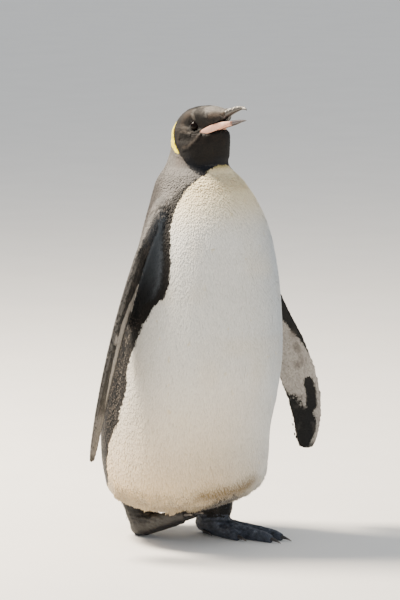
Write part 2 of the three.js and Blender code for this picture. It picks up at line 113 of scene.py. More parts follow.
# How much thicker a flipper is towards its leading edge.
FLIPPER_FULLNESS = 0.36
# Middle, and radius across and fore and aft, up each shank and down the tail.
SHANKS = {
    "left": [[36, 10, 14, 19, 22], [41, -4, 34, 22, 31], [43, -8, 58, 25, 33], [42, -4, 104, 30, 34]],
    "right": [[-58, 67, 20, 17, 18], [-60, 74, 40, 19, 20], [-61, 77, 62, 24, 25], [-58, 68, 104, 28, 30]],
}
TAIL_ROWS = [[0, 104, 100, 36, 16], [0, 126, 70, 31, 11], [-1, 137, 42, 21, 6.5], [-2, 143, 14, 11, 3]]

FLESH = [
    "head", "neck", "breast_and_belly", "back", "tail", "flipper_left", "flipper_right",
    "leg_left", "leg_right", "foot_left", "foot_right",
]

# ---------------------------------------------------------------- small helpers


def linear(hex_colour):
    """An sRGB hex colour as linear red, green and blue."""
    values = [int(hex_colour[i:i + 2], 16) / 255 for i in (1, 3, 5)]
    return tuple(v / 12.92 if v <= 0.04045 else ((v + 0.055) / 1.055) ** 2.4 for v in values)


def smoothstep(value, low, high):
    """0 below low, 1 above high and a smooth ramp between."""
    ramp = np.clip((value - low) / (high - low), 0, 1)
    return ramp * ramp * (3 - 2 * ramp)


def fade(value, low, high):
    """1 below low, 0 above high and a smooth ramp between."""
    return 1 - smoothstep(value, low, high)


def between(value, low, high, soft):
    """1 between two limits and 0 outside them, with soft edges."""
    return smoothstep(value, low - soft, low + soft) * fade(value, high - soft, high + soft)


def bell(value, middle, width):
    """1 at the middle, falling to nothing about two widths away."""
    return np.exp(-((value - middle) / width) ** 2)


def unit(vectors):
    """Vectors scaled to length 1."""
    return vectors / np.maximum(np.linalg.norm(vectors, axis=-1, keepdims=True), 1e-9)


def spline(rows, t):
    """Rows of numbers read as one smooth curve, from t 0 at the first to 1 at the last."""
    rows = np.asarray(rows, float)
    last = len(rows) - 1
    place = last * np.asarray(t, float)
    i = np.clip(np.floor(place).astype(int), 0, last)
    w = (place - i)[..., None]
    before, here = rows[np.maximum(i - 1, 0)], rows[i]
    after, beyond = rows[np.minimum(i + 1, last)], rows[np.minimum(i + 2, last)]
    v0, v1 = (after - before) / 2, (beyond - here) / 2
    cubic = (2 * here - 2 * after + v0 + v1) * w ** 3
    square = (3 * after - 3 * here - 2 * v0 - v1) * w ** 2
    return cubic + square + v0 * w + here


def noise(points, size, seed):
    """Smooth noise from -1 to 1 whose blobs are about size across."""
    q = np.asarray(points, float) / size + 1000
    cell = np.floor(q).astype(np.int64)
    f = q - cell
    f = f * f * (3 - 2 * f)
    total = np.zeros(len(q))
    for corner in range(8):
        step = np.array([corner & 1, corner >> 1 & 1, corner >> 2 & 1])
        mixed = (cell + step) * np.array([73856093, 19349663, 83492791])
        key = (mixed[:, 0] ^ mixed[:, 1] ^ mixed[:, 2]) + seed * 2654435761
        key = (key ^ (key >> 13)) * 1274126177
        value = ((key ^ (key >> 16)) & 0xFFFF) / 32767.5 - 1
        total += value * np.prod(np.where(step, f, 1 - f), axis=1)
    return total


# ---------------------------------------------------------------- surfaces the feathers are set out on


def pose(p):
    """Sway, sag and head turn of the standing bird, in its own frame."""
    x, y, z = p[..., 0], p[..., 1], p[..., 2]
    leaning = smoothstep(z, SWAY_HEIGHTS["belly"], SWAY_HEIGHTS["shoulder"])
    upright = smoothstep(z, SWAY_HEIGHTS["neck"], SWAY_HEIGHTS["head"])
    shift = SWAY["belly"] + (SWAY["shoulder"] - SWAY["belly"]) * leaning
    shift = shift + (SWAY["head"] - shift) * upright
    sag = SAG["slope"] * x * fade(z, SAG["full"], SAG["gone"])
    turn = -HEAD_TURN * smoothstep(z, *TURN_HEIGHTS)
    cos, sin = np.cos(turn), np.sin(turn)
    y = y - HEAD_AXIS_Y
    turned = [x * cos - y * sin + shift, x * sin + y * cos + HEAD_AXIS_Y, z + sag]
    return np.stack(turned, -1) + ORIGIN_SHIFT


def body_surface(station, angle):
    """A point of the body, by station and by angle round it: 0 is the breast, + is the left side."""
    columns = spline(STATIONS, station / TOP_STATION)
    front_y, front_z, back_y, back_z, half_width, widest, blunt = np.moveaxis(columns, -1, 0)
    zero = np.zeros_like(front_y)
    front, back = np.stack([zero, front_y, front_z], -1), np.stack([zero, back_y, back_z], -1)
    middle = front + (back - front) * widest[..., None]
    ahead = np.cos(angle) > 0
    exponent = 2 / np.where(ahead, blunt, BACK_SQUARENESS)
    depth = np.where(ahead, np.linalg.norm(middle - front, axis=-1), np.linalg.norm(middle - back, axis=-1))
    reach = depth * np.sign(np.cos(angle)) * np.abs(np.cos(angle)) ** exponent
    out = half_width * np.sign(np.sin(angle)) * np.abs(np.sin(angle)) ** exponent
    point = middle + unit(front - back) * reach[..., None] + np.stack([out, zero, zero], -1)
    return pose(point)


def turned_from_breast(angle):
    """Angle from the middle of the breast, 0 to 180 degrees."""
    return np.degrees(np.abs((angle + math.pi) % (2 * math.pi) - math.pi))


def arc_spline(rows, t):
    """A curve read by its arc length, from t 0 to 1, as its point and its direction."""
    fine = spline(rows, np.linspace(0, 1, 400))
    length = np.concatenate([[0], np.cumsum(np.linalg.norm(np.diff(fine, axis=0), axis=1))])

    def read(at):
        return np.stack([np.interp(at, length, fine[:, i]) for i in range(3)], -1)

    at = np.clip(t, 0, 1) * length[-1]
    return read(at), unit(read(at + 4) - read(at - 4))


def flipper_surface(side):
    """The surface of one flipper, by place along it from the shoulder and angle from its leading edge."""
    def surface(along, angle):
        point, tangent = arc_spline(FLIPPER_LINES[side], along)
        leading = np.array(FLIPPER_LEADING[side])
        edge = unit(leading - tangent * (tangent @ leading)[..., None])
        face = np.cross(tangent, edge)
        chord, thick = (np.interp(along, FLIPPER_SECTIONS[:, 0], FLIPPER_SECTIONS[:, i]) for i in (1, 2))
        deep = np.sin(angle) * (1 + FLIPPER_FULLNESS * np.cos(angle))
        offset = edge * (chord / 2 * np.cos(angle))[..., None] + face * (thick / 2 * deep)[..., None]
        return point + offset + ORIGIN_SHIFT
    return surface


def tube_surface(rows):
    """The surface of a round tube with rows of x, y, z, radius across and radius fore and aft."""
    def surface(t, angle):
        centre = spline(rows, t)
        ahead = spline(rows, np.clip(t + 0.01, 0, 1))[..., :3]
        behind = spline(rows, np.clip(t - 0.01, 0, 1))[..., :3]
        along = unit(ahead - behind)
        up = unit(np.cross(np.array([1.0, 0, 0]), along))
        across = np.cross(along, up) * (centre[..., 3] * np.cos(angle))[..., None]
        deep = up * (centre[..., 4] * np.sin(angle))[..., None]
        return centre[..., :3] + (across + deep) + ORIGIN_SHIFT
    return surface


def lattice(surface, rows, gap, seed):
    """Places in staggered rows, about gap apart along a row, with the surface's direction and normal."""
    random = np.random.default_rng(seed)
    circle = np.linspace(0, 2 * math.pi, 73)
    places = []
    for index, row in enumerate(rows):
        ring = surface(np.full(len(circle), row), circle)
        lengths = np.linalg.norm(np.diff(ring, axis=0), axis=1)
        count = max(6, int(lengths.sum() / gap))
        jitter = random.uniform(-0.22, 0.22, count)
        even = (np.arange(count) + 0.5 * (index % 2) + jitter) / count * lengths.sum()
        angle = np.interp(even, np.concatenate([[0], np.cumsum(lengths)]), circle)
        places.append(np.stack([np.full(count, row), angle], -1))
    for place, row_gap in zip(places, np.gradient(rows)):
        place[:, 0] += random.uniform(-0.25, 0.25, len(place)) * row_gap
    row, angle = np.concatenate(places).T
    row = np.clip(row, rows[0], rows[-1])
    step = (rows[-1] - rows[0]) * 0.002
    low, high = np.maximum(row - step, rows[0]), np.minimum(row + step, rows[-1])
    along = unit(surface(high, angle) - surface(low, angle))
    across = unit(surface(row, angle + 0.02) - surface(row, angle - 0.02))
    normal = unit(np.cross(across, along))
    return {"row": row, "angle": angle, "point": surface(row, angle), "along": along, "normal": normal}


def even_rows(surface, low, high, gap):
    """Rows along a surface whose mean distance apart is gap."""
    fine = np.linspace(low, high, 400)
    rings = np.array([surface(np.full(12, t), np.arange(12) * math.pi / 6) for t in fine])
    steps = np.linalg.norm(np.diff(rings, axis=0), axis=-1).mean(1)
    count = np.concatenate([[0], np.cumsum(steps / gap)])
    return np.interp(np.arange(int(count[-1]) + 1), count, fine)


# ---------------------------------------------------------------- markings

# Where the white breast ends on each side: station and angle from the middle of the breast, in degrees.
WHITE_EDGE = np.array([
    [0, 176], [1.2, 158], [2.2, 140], [3.2, 124], [4.15, 116], [5.1, 113], [5.7, 109], [6.1, 104], [6.45, 99],
    [7.3, 96], [7.8, 98], [8.2, 96], [8.8, 89], [9.2, 84], [9.45, 76], [9.8, 72], [10.5, 74], [11.3, 78],
    [12.1, 76], [12.7, 69], [13.0, 63], [13.2, 57], [13.4, 48], [13.6, 38], [13.75, 28], [13.9, 16],
    [14.1, 7],
])
# Width of the black band behind that edge, in degrees.
BAND_WIDTH = np.array([
    [0, 24], [3, 30], [6, 40], [8, 44], [9, 40], [10, 38], [10.6, 34], [11, 29], [11.25, 24], [11.5, 17.5],
    [11.8, 13.5], [12.4, 12.5], [12.85, 7.5], [13, 5.5], [13.3, 4], [13.6, 2],
])
# Lower edge of the black hood: angle from the breast and station.
HOOD_EDGE = np.array([
    [0, 14.2], [7, 14.12], [16, 13.9], [28, 13.74], [38, 13.6], [48, 13.75], [56, 13.98], [66, 14.32],
    [77, 14.67],
    [87, 15.01], [94, 15.24], [103, 15.55], [110, 16.0], [125, 16.2], [145, 16.0], [180, 15.9],
])
# The pale ear patch: station, front edge and rear edge in degrees.
EAR_PATCH = np.array([
    [15.0, 88, 90], [15.2, 90, 104], [15.4, 95, 116], [15.6, 99, 128], [16, 105, 140], [16.6, 109, 149],
    [17.2, 112, 150], [17.8, 116, 144], [18.3, 126, 130],
])
# Worn patches of the face, as paths of station and angle: half width in mm, colour, strength,
# and how far the feathers stand up or lie sunk there, in mm.
FACE_PATHS = [
    ([(19.6, 102), (20.2, 104)], 8, "#5a493c", 0.8, 0.5),
    ([(19.0, 98), (18.3, 88)], 5.5, "#46392f", 0.7, 0.2),
    ([(21.8, 160), (23, 168)], 16, "#84807b", 0.85, 0),
    ([(21.2, 150), (21.9, 130)], 9, "#7f7a75", 0.7, 0),
    ([(20.8, 128), (20.35, 98), (19.9, 74)], 3.2, "#8c867e", 0.75, 0.9),
    ([(21.3, 138), (21.1, 98), (20.3, 68)], 5.2, "#15110f", 0.95, -0.9),
    ([(21.9, 100), (22.6, 106)], 7, "#4d4035", 0.85, 0.5),
    ([(17.4, 50), (19.7, 54), (21.3, 62), (22.5, 78)], 4.4, "#0f0d0c", 0.95, -0.9),
    ([(18.9, 70), (17.6, 55)], 8, "#110e0d", 0.95, -0.7),
    ([(17.9, 82), (17.6, 72)], 5, "#54473b", 0.7, 0.6),
    ([(17.1, 86), (17.05, 66)], 3, "#65594e", 0.7, 0.9),
    ([(17.05, 67), (17.1, 64)], 2.2, "#8f877d", 0.7, 0.3),
    ([(16.35, 88), (16.4, 66)], 6, "#100c0b", 0.97, -1.3),
    ([(17.2, 47), (16.5, 52), (16.0, 61), (15.65, 69), (15.55, 80)], 3.2, "#54473c", 0.65, 1.0),
    ([(15.9, 92), (16.9, 90)], 3, "#53463b", 0.5, 0.3),
]
# Rear edge of the dark band under each flipper: place along it and across it, 1 being its leading edge.
LEADING_BAND = {
    "left": np.array([
        [0.16, -0.6], [0.3, 0], [0.46, 0.32], [0.5, 0.45], [0.56, 0.62], [0.62, 0.8], [0.68, 0.93],
        [0.74, 1.2],
    ]),
    "right": np.array([
        [0.26, -1.2], [0.32, -0.3], [0.37, -0.05], [0.41, 0.2], [0.47, 0.4], [0.5, 0.44], [0.56, 0.36],
        [0.65, 0.21], [0.75, -0.1], [0.8, -0.48], [0.83, -1.2],
    ]),
}
# Faint blotches under the left flipper: place along and across.
WING_BLOTCHES = [(0.58, 0.6), (0.64, 0.49), (0.68, 0.45), (0.69, 0.15), (0.62, 0.5)]
# Black block near the left tip: place along, rear edge and front edge.
TIP_PATCH = np.array([
    [0.74, 0.3, 0.55], [0.76, 0.14, 0.7], [0.8, 0.12, 0.71], [0.84, 0.02, 0.68], [0.855, -0.1, 0.58],
    [0.87, -0.3, 0.42], [0.882, -0.6, 0.48], [0.89, -1.1, 0.62], [0.92, -1.2, 0.69], [0.95, -1.2, 0.57],
    [0.97, -1.2, 0.46], [1, -1.2, 0.2],
])
# How far the edges of the hood are turned round to the left side, in degrees.
LEFT_SHIFT = 18

WHITE, CREAM, STAIN = "#dedcd4", "#ffebbc", "#c2a874"
BAND, BAND_BROWN = "#0e0f11", "#14100d"
GREY, GREY_DARK, GREY_TIP = "#676461", "#33302e", "#85807a"
FLANK, FLANK_TIP = "#0b0908", "#6f665c"
HOOD, THROAT = "#110d0b", "#081220"
LEMON, LEMON_PALE = "#f8e221", "#f6e64a"
SHADED_YELLOW = "#8f8350"
UNDER_WING, WING_BLACK, WING_GREY, WING_TIP = "#aaa39a", "#0f0e0d", "#444140", "#65615d"
FOOT_LEFT, SHADED_FOOT_RIGHT, SOLE = "#434955", "#181614", "#17120e"


def mix(colour, other, share):
    """Colours moved towards another by a share, for each place or for all."""
    share = np.asarray(share, float)
    other = np.array(linear(other)) if isinstance(other, str) else other
    return colour + (other - colour) * np.clip(share, 0, 1).reshape(-1, 1)


def plain(hex_colour, count):
    """One colour for each of count places."""
    return np.tile(np.array(linear(hex_colour)), (count, 1))


def near_path(point, path, half_width, edge=0.25):
    """How close each place is to a path on either side of the head: 1 on it and 0 away from it."""
    best = np.zeros(len(point))
    for sign in (-1, 1):
        way = body_surface(np.array([p[0] for p in path], float), sign * np.radians([p[1] for p in path]))
        around = np.linalg.norm(point - way.mean(0), axis=1) < 60
        close = point[around]
        away = np.full(len(close), 99.0)
        for start, end in zip(way[:-1], way[1:]):
            along = end - start
            share = np.clip((close - start) @ along / (along @ along), 0, 1)
            away = np.minimum(away, np.linalg.norm(close - start - share[:, None] * along, axis=1))
        away = away / half_width + noise(close, 4.5, 12 + sign) * 0.3 + noise(close, 1.8, 15) * 0.22
        best[around] = np.maximum(best[around], 1 - smoothstep(away, edge, 1.4))
    return best


def white_front(station, across, point):
    """White front, by angle to the left: cream on the breast with painted light, painted cool shade on the
    left below it, painted warm reflected light low on the right, stains, and painted shade along the lower
    rim.
    """
    # Painted warm reflected light, low on the belly and towards the right side.
    warm = fade(station, 3, 9) * smoothstep(-across, -40, 30)
    colour = mix(plain(WHITE, len(point)), "#d8ba88", warm)
    # Painted light on the breast; the white below it stays darker as painted shade.
    colour = mix(colour, "#f6f3ea", smoothstep(station, 9.6, 11.6))
    # Painted cool shade, blue grey, over the middle of the belly on the left side.
    colour = mix(colour, "#a9b6c2", between(station, 6.5, 11.8, 1.6) * smoothstep(across, -15, 40) * 0.75)
    colour = mix(colour, CREAM, smoothstep(station, 10.8, 13.0) * 0.95)
    colour = mix(colour, "#d9c9a8", smoothstep(noise(point, 42, 5), 0.1, 0.9) * 0.22)
    colour = mix(colour, "#cdb56a", smoothstep(noise(point, 9, 6), 0.78, 0.95) * 0.35)
    colour = mix(colour, STAIN, fade(station, 2.2, 4.2) * smoothstep(noise(point, 24, 8), -0.4, 0.7) * 0.45)
    # Painted shade along the lower rim of the belly, darker and browner.
    colour = mix(colour, "#857b69", fade(station + noise(point, 10, 30) * 0.25, 3.6, 4.7) * 0.65)
    # Painted shade in the belly's fold over the left leg, and on the top of that leg under it.
    fold = bell(station - 0.012 * np.maximum(across, 0), 4.35, 0.3) * fade(np.abs(across + 12), 18, 34)
    colour = mix(colour, "#7d663d", fold * 0.85)
    leg_top_shade = fade(station + noise(point, 5, 7) * 0.2, 3.9, 4.25) * fade(np.abs(across + 10), 8, 16)
    colour = mix(colour, "#2b2622", leg_top_shade * 0.9)
    # The yellow patch at the side of the throat, painted olive as it lies in shade.
    shaded_throat_patch = smoothstep(station, 13.68, 14.02) * fade(np.abs(across - 10), 34, 52)
    colour = mix(colour, SHADED_YELLOW, shaded_throat_patch * 0.9)
    return colour, mix(colour, "#ffffff", 0.2)


def grey_mantle(station, turn, behind, band, point):
    """Grey mantle and back, with paler tips, darker and worn towards the rump, and painted shade from the
    sides of the shoulders round to the back.
    """
    colour = mix(plain(GREY, len(point)), GREY_DARK, smoothstep(-station, -12.2, -8) * 0.75)
    colour = mix(colour, "#5b4d42", smoothstep(noise(point, 30, 9), 0.1, 0.8) * 0.35)
    near_band = fade(behind, band * 0.9, band * 1.7 + 8)
    speckle = smoothstep(noise(point, 2.4, 16) + noise(point, 6, 17) * 0.4, -0.2, 0.5)
    colour = mix(colour, "#2c241f", near_band * smoothstep(station, 10.5, 11.5) * speckle * 0.9)
    colour = mix(colour, "#57514c", smoothstep(noise(point, 3.2, 18), 0.1, 0.7) * 0.4)
    # Painted shade, a dark brown grey, from the sides of the shoulders round to the back.
    brown = smoothstep(turn + noise(point, 9, 29) * 4, 93, 108) * between(station, 11.3, 13.2, 0.5)
    colour = mix(colour, "#332d2a", brown * 0.8)
    return colour, mix(colour, GREY_TIP, 0.12 + 0.5 * smoothstep(-station, -12, -9))


def dark_band(station, behind, point):
    """Dark band along the white, with a painted blue grey sheen under the flippers, scaled with pale tips on
    the flanks.
    """
    border = fade(behind + noise(point, 3, 27) * 1.5, 4, 11)
    # Painted sheen: the black turns blue grey high on the band under the flippers.
    sheen_highlight = smoothstep(station, 9.2, 10.8) * fade(station, 11.4, 12.1) * (1 - border)
    colour = mix(mix(plain(BAND, len(point)), "#4b5055", sheen_highlight * 0.95), BAND_BROWN, border * 0.9)
    flank = fade(station, 8.3, 9.3)
    colour = mix(colour, FLANK, flank * smoothstep(behind, 1.5, 6))
    scaled = smoothstep(noise(point, 1.4, 31) + noise(point, 12, 32) * 0.25, -0.1, 0.35)
    tip = mix(colour, FLANK_TIP, flank * scaled * (0.35 + 0.65 * smoothstep(behind, 1.5, 8)))
    line = bell(behind, 10, 2.2) * smoothstep(station, 9.2, 9.8) * fade(station, 10.6, 11.2)
    return mix(colour, "#6a6e73", line * 0.4), tip


def dark_hood(station, around, above, point):
    """Near black hood, blue black at the throat, with brown mottle and the worn patches of the face."""
    colour = mix(plain(HOOD, len(point)), THROAT, fade(above, 0.3, 1.1) * fade(around, 55, 85))
    mottle = smoothstep(noise(point, 9, 11) + noise(point, 2.5, 19) * 0.5, -0.1, 0.9)
    colour = mix(colour, "#4a3a2e", mottle * 0.4 * smoothstep(station, 15.3, 17))
    for path, half_width, patch_colour, strength, _ in FACE_PATHS:
        share = near_path(point, path, half_width) * strength * 0.8 * (above > 0.2)
        colour = mix(colour, patch_colour, share)
    return colour * (0.36 + 0.64 * smoothstep(station, 20.6, 21.8))[:, None]


def ear_patch(station, turn, ragged):
    """1 inside the pale ear patch and 0 outside it."""
    front = np.interp(station, EAR_PATCH[:, 0], EAR_PATCH[:, 1]) + ragged * 0.8
    rear = np.interp(station, EAR_PATCH[:, 0], EAR_PATCH[:, 2]) + ragged * 1.2
    inside = smoothstep(np.minimum(turn - front, rear - turn), -1, 1.5)
    return inside * (station > 15.05) * (station < 18.3)


def body_markings(station, angle, point):
    """Colour of the feathers on the body, and the colour of their tips."""
    side = np.sign(np.sin(angle))
    turn = turned_from_breast(angle)
    ragged = noise(point, 4, 3) * 0.9 + noise(point, 16, 4) * 0.9
    leftward = LEFT_SHIFT * (side > 0)
    edge = np.interp(station, *WHITE_EDGE.T) + ragged
    edge = edge + leftward * smoothstep(station, 12.7, 13.5)
    band = np.interp(station, *BAND_WIDTH.T)
    behind = turn - edge

    colour, tip = white_front(station, turn * side, point)
    grey, grey_tip = grey_mantle(station, turn, behind, band, point)
    dark, dark_tip = dark_band(station, behind, point)
    stipple = noise(point, 2.6, 10) * 0.5 + noise(point, 9, 13) * 0.2
    to_grey = smoothstep(behind / band + stipple, 0.75, 1.2)
    is_dark = smoothstep(behind, -0.6, 0.6)
    colour = mix(colour, mix(dark, grey, to_grey), is_dark)
    tip = mix(tip, mix(dark_tip, grey_tip, to_grey), is_dark)

    around = turn - leftward * smoothstep(turn, 4, 26) * fade(turn, 74, 100)
    above = station - np.interp(around, *HOOD_EDGE.T) + ragged * 0.02
    hood = dark_hood(station, around, above, point)
    is_hood = smoothstep(above, -0.05, 0.05)
    lemon = mix(plain(LEMON, len(point)), LEMON_PALE, smoothstep(turn, 112, 140))
    ear = ear_patch(station, turn, ragged)
    colour = mix(mix(colour, hood, is_hood), lemon, ear)
    tip = mix(mix(tip, mix(hood, "#4a403a", 0.1), is_hood), lemon, ear)
    return colour, tip


def upper_wing(along, chord, point, side, fine, coarse):
    """Upper side of a flipper: worn grey with dark mottles, paler at the shoulder, and painted shade near the
    root towards the trailing edge.
    """
    mottle = smoothstep(noise(point, 5.5, 23) + fine * 0.5, -0.1, 0.5)
    colour = mix(plain(WING_GREY, len(point)), WING_BLACK, mottle * (0.8 if side == "right" else 0.5))
    colour = mix(colour, GREY, fade(along + fine * 0.05, 0.06, 0.3) * 0.95)
    # Painted shade near the root, towards the trailing edge.
    shaded = fade(along, 0.12, 0.26) * fade(chord + coarse * 0.1, 0.45, 0.88)
    colour = mix(colour, "#2f2926", shaded * 0.85)
    worn_tip = between(along, 0.83, 1.1, 0.03) * (0.75 - 0.7 * smoothstep(fine, 0.1, 0.5))
    return mix(colour, "#77726c", worn_tip)


def left_under_wing(colour, along, chord, point, ragged, fine, coarse):
    """Blotches, the black block and the stippled black end under the left flipper."""
    blotches = sum(np.exp(-((along - a) / 0.016) ** 2 - ((chord - c) / 0.17) ** 2) for a, c in WING_BLOTCHES)
    colour = mix(colour, "#5f574f", np.clip(blotches, 0, 1) * 0.6)
    rear = np.interp(along, TIP_PATCH[:, 0], TIP_PATCH[:, 1])
    front = np.interp(along, TIP_PATCH[:, 0], TIP_PATCH[:, 2])
    block = smoothstep(np.minimum(front - chord, chord - rear) + ragged, -0.05, 0.05)
    reach = 0.865 - 0.075 * smoothstep(-chord, -0.3, 0.9)
    specks = noise(point * [1, 1, 0.6], 1.7, 24)
    stippled = smoothstep(along + specks * 0.035 + coarse * 0.008 - reach, -0.02, 0.015)
    stippled = stippled * smoothstep(front - chord, -0.05, 0.05)
    trailing = smoothstep(-chord + ragged, 0.78, 0.86) * smoothstep(along, 0.75, 0.79)
    black = np.maximum(np.maximum(block * (along > 0.742), stippled), trailing)
    worn = mix(plain(WING_BLACK, len(point)), "#4c4743", smoothstep(coarse, 0.4, 0.9) * 0.35)
    return mix(colour, worn, black)


def right_under_wing(colour, along, chord, point, ragged, fine, coarse):
    """Dark trailing half, a pale bar, a worn leading edge and a speckled end under the right flipper."""
    colour = mix(colour, FLANK, smoothstep(-chord + ragged, 0.36, 0.5) * (along > 0.42) * 0.85)
    bar = between(along, 0.535, 0.565, 0.008) * between(chord, 0.45, 1.1, 0.1)
    colour = mix(colour, "#aaa299", bar * 0.9)
    mottle = smoothstep(noise(point, 4.5, 25) + fine * 0.5, 0.15, 0.5)
    worn = mix(plain("#5a5753", len(point)), WING_BLACK, mottle * 0.85)
    colour = mix(colour, worn, smoothstep(chord, 0.7, 0.82) * smoothstep(along, 0.2, 0.32))
    specks = smoothstep(noise(point, 2.2, 26), 0.15, 0.6)
    end = mix(plain("#77726c", len(point)), "#2a2725", specks * 0.9)
    return mix(colour, end, smoothstep(along, 0.8, 0.84) * 0.95)


UNDER_WINGS = {"left": left_under_wing, "right": right_under_wing}


def under_wing(along, chord, point, side, fine, coarse):
    """Under side of a flipper: a dark leading band, then off-white, and black towards the tip."""
    ragged = fine * 0.05 + coarse * 0.05
    colour = mix(plain(UNDER_WING, len(point)), "#857d74", smoothstep(coarse, 0, 0.8) * 0.35)
    wear = smoothstep(coarse * 0.6 + fine, 0.15, 0.7) * 0.6 * (side == "right")
    band = mix(plain(WING_BLACK, len(point)), "#57514b", wear)
    edge = np.interp(along, *LEADING_BAND[side].T)
    colour = mix(colour, band, smoothstep(chord + ragged - edge, -0.05, 0.05))
    colour = UNDER_WINGS[side](colour, along, chord, point, ragged, fine, coarse)
    # At the shoulder: blue black, with painted light as a strip of grey along the leading edge.
    lit = smoothstep(chord + fine * 0.12 - 0.5 * between(along, -1, 0.05, 0.03), 0.8, 0.97)
    shoulder = mix(plain("#262b31", len(point)), GREY, lit)
    colour = mix(colour, shoulder, fade(along + fine * 0.03, 0.14, 0.22))
    return mix(colour, WING_BLACK, smoothstep(along, 0.965, 0.985) * 0.8)


def flipper_markings(along, angle, point, side):
    """Colour and tip colour of a flipper's small feathers; the under side faces the body."""
    chord = np.cos(angle)
    under = (np.sin(angle) * SIDES[side] > 0)[:, None]
    fine, coarse = noise(point, 3, 21), noise(point, 9, 22)
    lower = under_wing(along, chord, point, side, fine, coarse)
    colour = np.where(under, lower, upper_wing(along, chord, point, side, fine, coarse))
    rim, share = ("#bdb5ab", 0.14) if side == "right" else ("#8b8783", 0.05)
    tip = mix(colour, np.where(under, plain(rim, len(point)), plain(WING_TIP, len(point))), share)
    return colour, tip


# ---------------------------------------------------------------- meshes


def mesh_arrays(mesh):
    """A Blender mesh as corners, triangles and edges, in millimetres."""
    mesh.calc_loop_triangles()
    corners = np.empty(len(mesh.vertices) * 3, np.float32)
    mesh.vertices.foreach_get("co", corners)
    triangles = np.empty(len(mesh.loop_triangles) * 3, np.int32)
    mesh.loop_triangles.foreach_get("vertices", triangles)
    edges = np.empty(len(mesh.edges) * 2, np.int32)
    mesh.edges.foreach_get("vertices", edges)
    return corners.reshape(-1, 3).astype(float) / MM, triangles.reshape(-1, 3), edges.reshape(-1, 2)


def node_arrays(name):
    """A solid's corners and triangles, with doubled corners welded, in millimetres."""
    corners, triangles, _ = mesh_arrays(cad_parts[name].data)
    kept, index = np.unique(np.round(corners, 3), axis=0, return_inverse=True)
    triangles = index.reshape(-1)[triangles].reshape(-1, 3)
    a, b, c = triangles.T
    return kept, triangles[(a != b) & (b != c) & (a != c)]


def vertex_normals(corners, triangles):
    """Smooth normals at the corners of a mesh."""
    a, b, c = (corners[column] for column in triangles.T)
    across = np.cross(b - a, c - a)
    total = np.zeros_like(corners)
    for column in triangles.T:
        for axis in range(3):
            total[:, axis] += np.bincount(column, across[:, axis], len(corners))
    return unit(total)


def make_object(name, corners, faces, material, smooth=True):
    """A new mesh object from corners in millimetres and faces, riding on the bird."""
    mesh = bpy.data.meshes.new(name)
    mesh.vertices.add(len(corners))
    mesh.vertices.foreach_set("co", (np.asarray(corners) * MM).astype(np.float32).ravel())
    sides = faces.shape[1]
    mesh.loops.add(faces.size)
    mesh.loops.foreach_set("vertex_index", faces.astype(np.int32).ravel())
    mesh.polygons.add(len(faces))
    mesh.polygons.foreach_set("loop_start", np.arange(0, faces.size, sides, dtype=np.int32))
    mesh.update(calc_edges=True)
    mesh.polygons.foreach_set("use_smooth", np.full(len(faces), smooth))
    mesh.materials.append(material)
    piece = bpy.data.objects.new(name, mesh)
    bpy.context.collection.objects.link(piece)
    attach(piece, "root")
    return piece


def paint(piece, colours):
    """Stores a colour for each corner of a mesh."""
    attribute = piece.data.color_attributes.new("marking", "FLOAT_COLOR", "POINT")
    opaque = np.c_[colours, np.ones(len(colours))]
    attribute.data.foreach_set("color", opaque.astype(np.float32).ravel())


def relax(corners, edges, weight, times):
    """Moves each corner part of the way to the middle of its neighbours, many times."""
    a, b = edges.T
    degree = np.maximum(np.bincount(a, minlength=len(corners)) + np.bincount(b, minlength=len(corners)), 1)
    for _ in range(times):
        middle = np.empty_like(corners)
        for axis in range(corners.shape[1]):
            column = corners[:, axis]
            middle[:, axis] = np.bincount(a, column[b], len(corners))
            middle[:, axis] += np.bincount(b, column[a], len(corners))
        corners = corners + (middle / degree[:, None] - corners) * weight[:, None]
    return corners


# A feather from root to tip in four rows of three corners: distance along it, how far it has risen,
# and how much of its tip's colour it shows.
VANE_ALONG = [0.0, 0.4, 0.87, 1.0]
VANE_RISE = [-0.3, 0.5, 0.93, 1.0]
VANE_TINT = [0, 0, 0.12, 1]
# How far the middle of the tip runs past its corners, and how much lower the edges lie, by its width.
VANE_POINT = 0.07
VANE_ARCH = 0.07


def vanes(place, length, width, lift, colours, pointed, seed, variety):
    """Feathers as small arched leaves rooted in the skin, each tip lying over the next root."""
    count = len(place["point"])
    random = np.random.default_rng(seed)
    stray = random.normal(0, 0.07, count)[:, None]
    lie = unit(place["lie"] + np.cross(place["normal"], place["lie"]) * stray)
    normal = unit(place["normal"] - lie * (place["normal"] * lie).sum(1)[:, None])
    across = np.cross(normal, lie)
    length = length * random.uniform(0.85, 1.15, count)
    lift = lift * random.uniform(0.8, 1.12, count)
    brightness = np.clip(random.normal(1, variety, count), 0.5, 1.6)
    width = np.broadcast_to(width, count)
    spread = [0.45, 1.0, 0.92 - 0.22 * pointed, 0.62 - 0.5 * pointed]
    corners = np.empty((count, 4, 3, 3))
    shade = np.empty((count, 4, 3, 3))
    for row in range(4):
        row_colour = mix(*colours, VANE_TINT[row]) * brightness[:, None]
        for column in range(3):
            off = column - 1
            beyond = VANE_ALONG[row] + (VANE_POINT if column == 1 and row == 3 else 0)
            corners[:, row, column] = (
                place["point"] + lie * (length * beyond)[:, None]
                + across * (off * width / 2 * spread[row])[:, None]
                + normal * (lift * VANE_RISE[row] - abs(off) * width * VANE_ARCH)[:, None])
            shade[:, row, column] = row_colour * (0.96 if off else 1.03)
    base = np.arange(count)[:, None, None] * 12
    quads = [[r * 3 + c, r * 3 + c + 1, r * 3 + c + 4, r * 3 + c + 3] for r in range(3) for c in range(2)]
    return corners.reshape(-1, 3), (base + np.array(quads)[None]).reshape(-1, 4), shade.reshape(-1, 3)


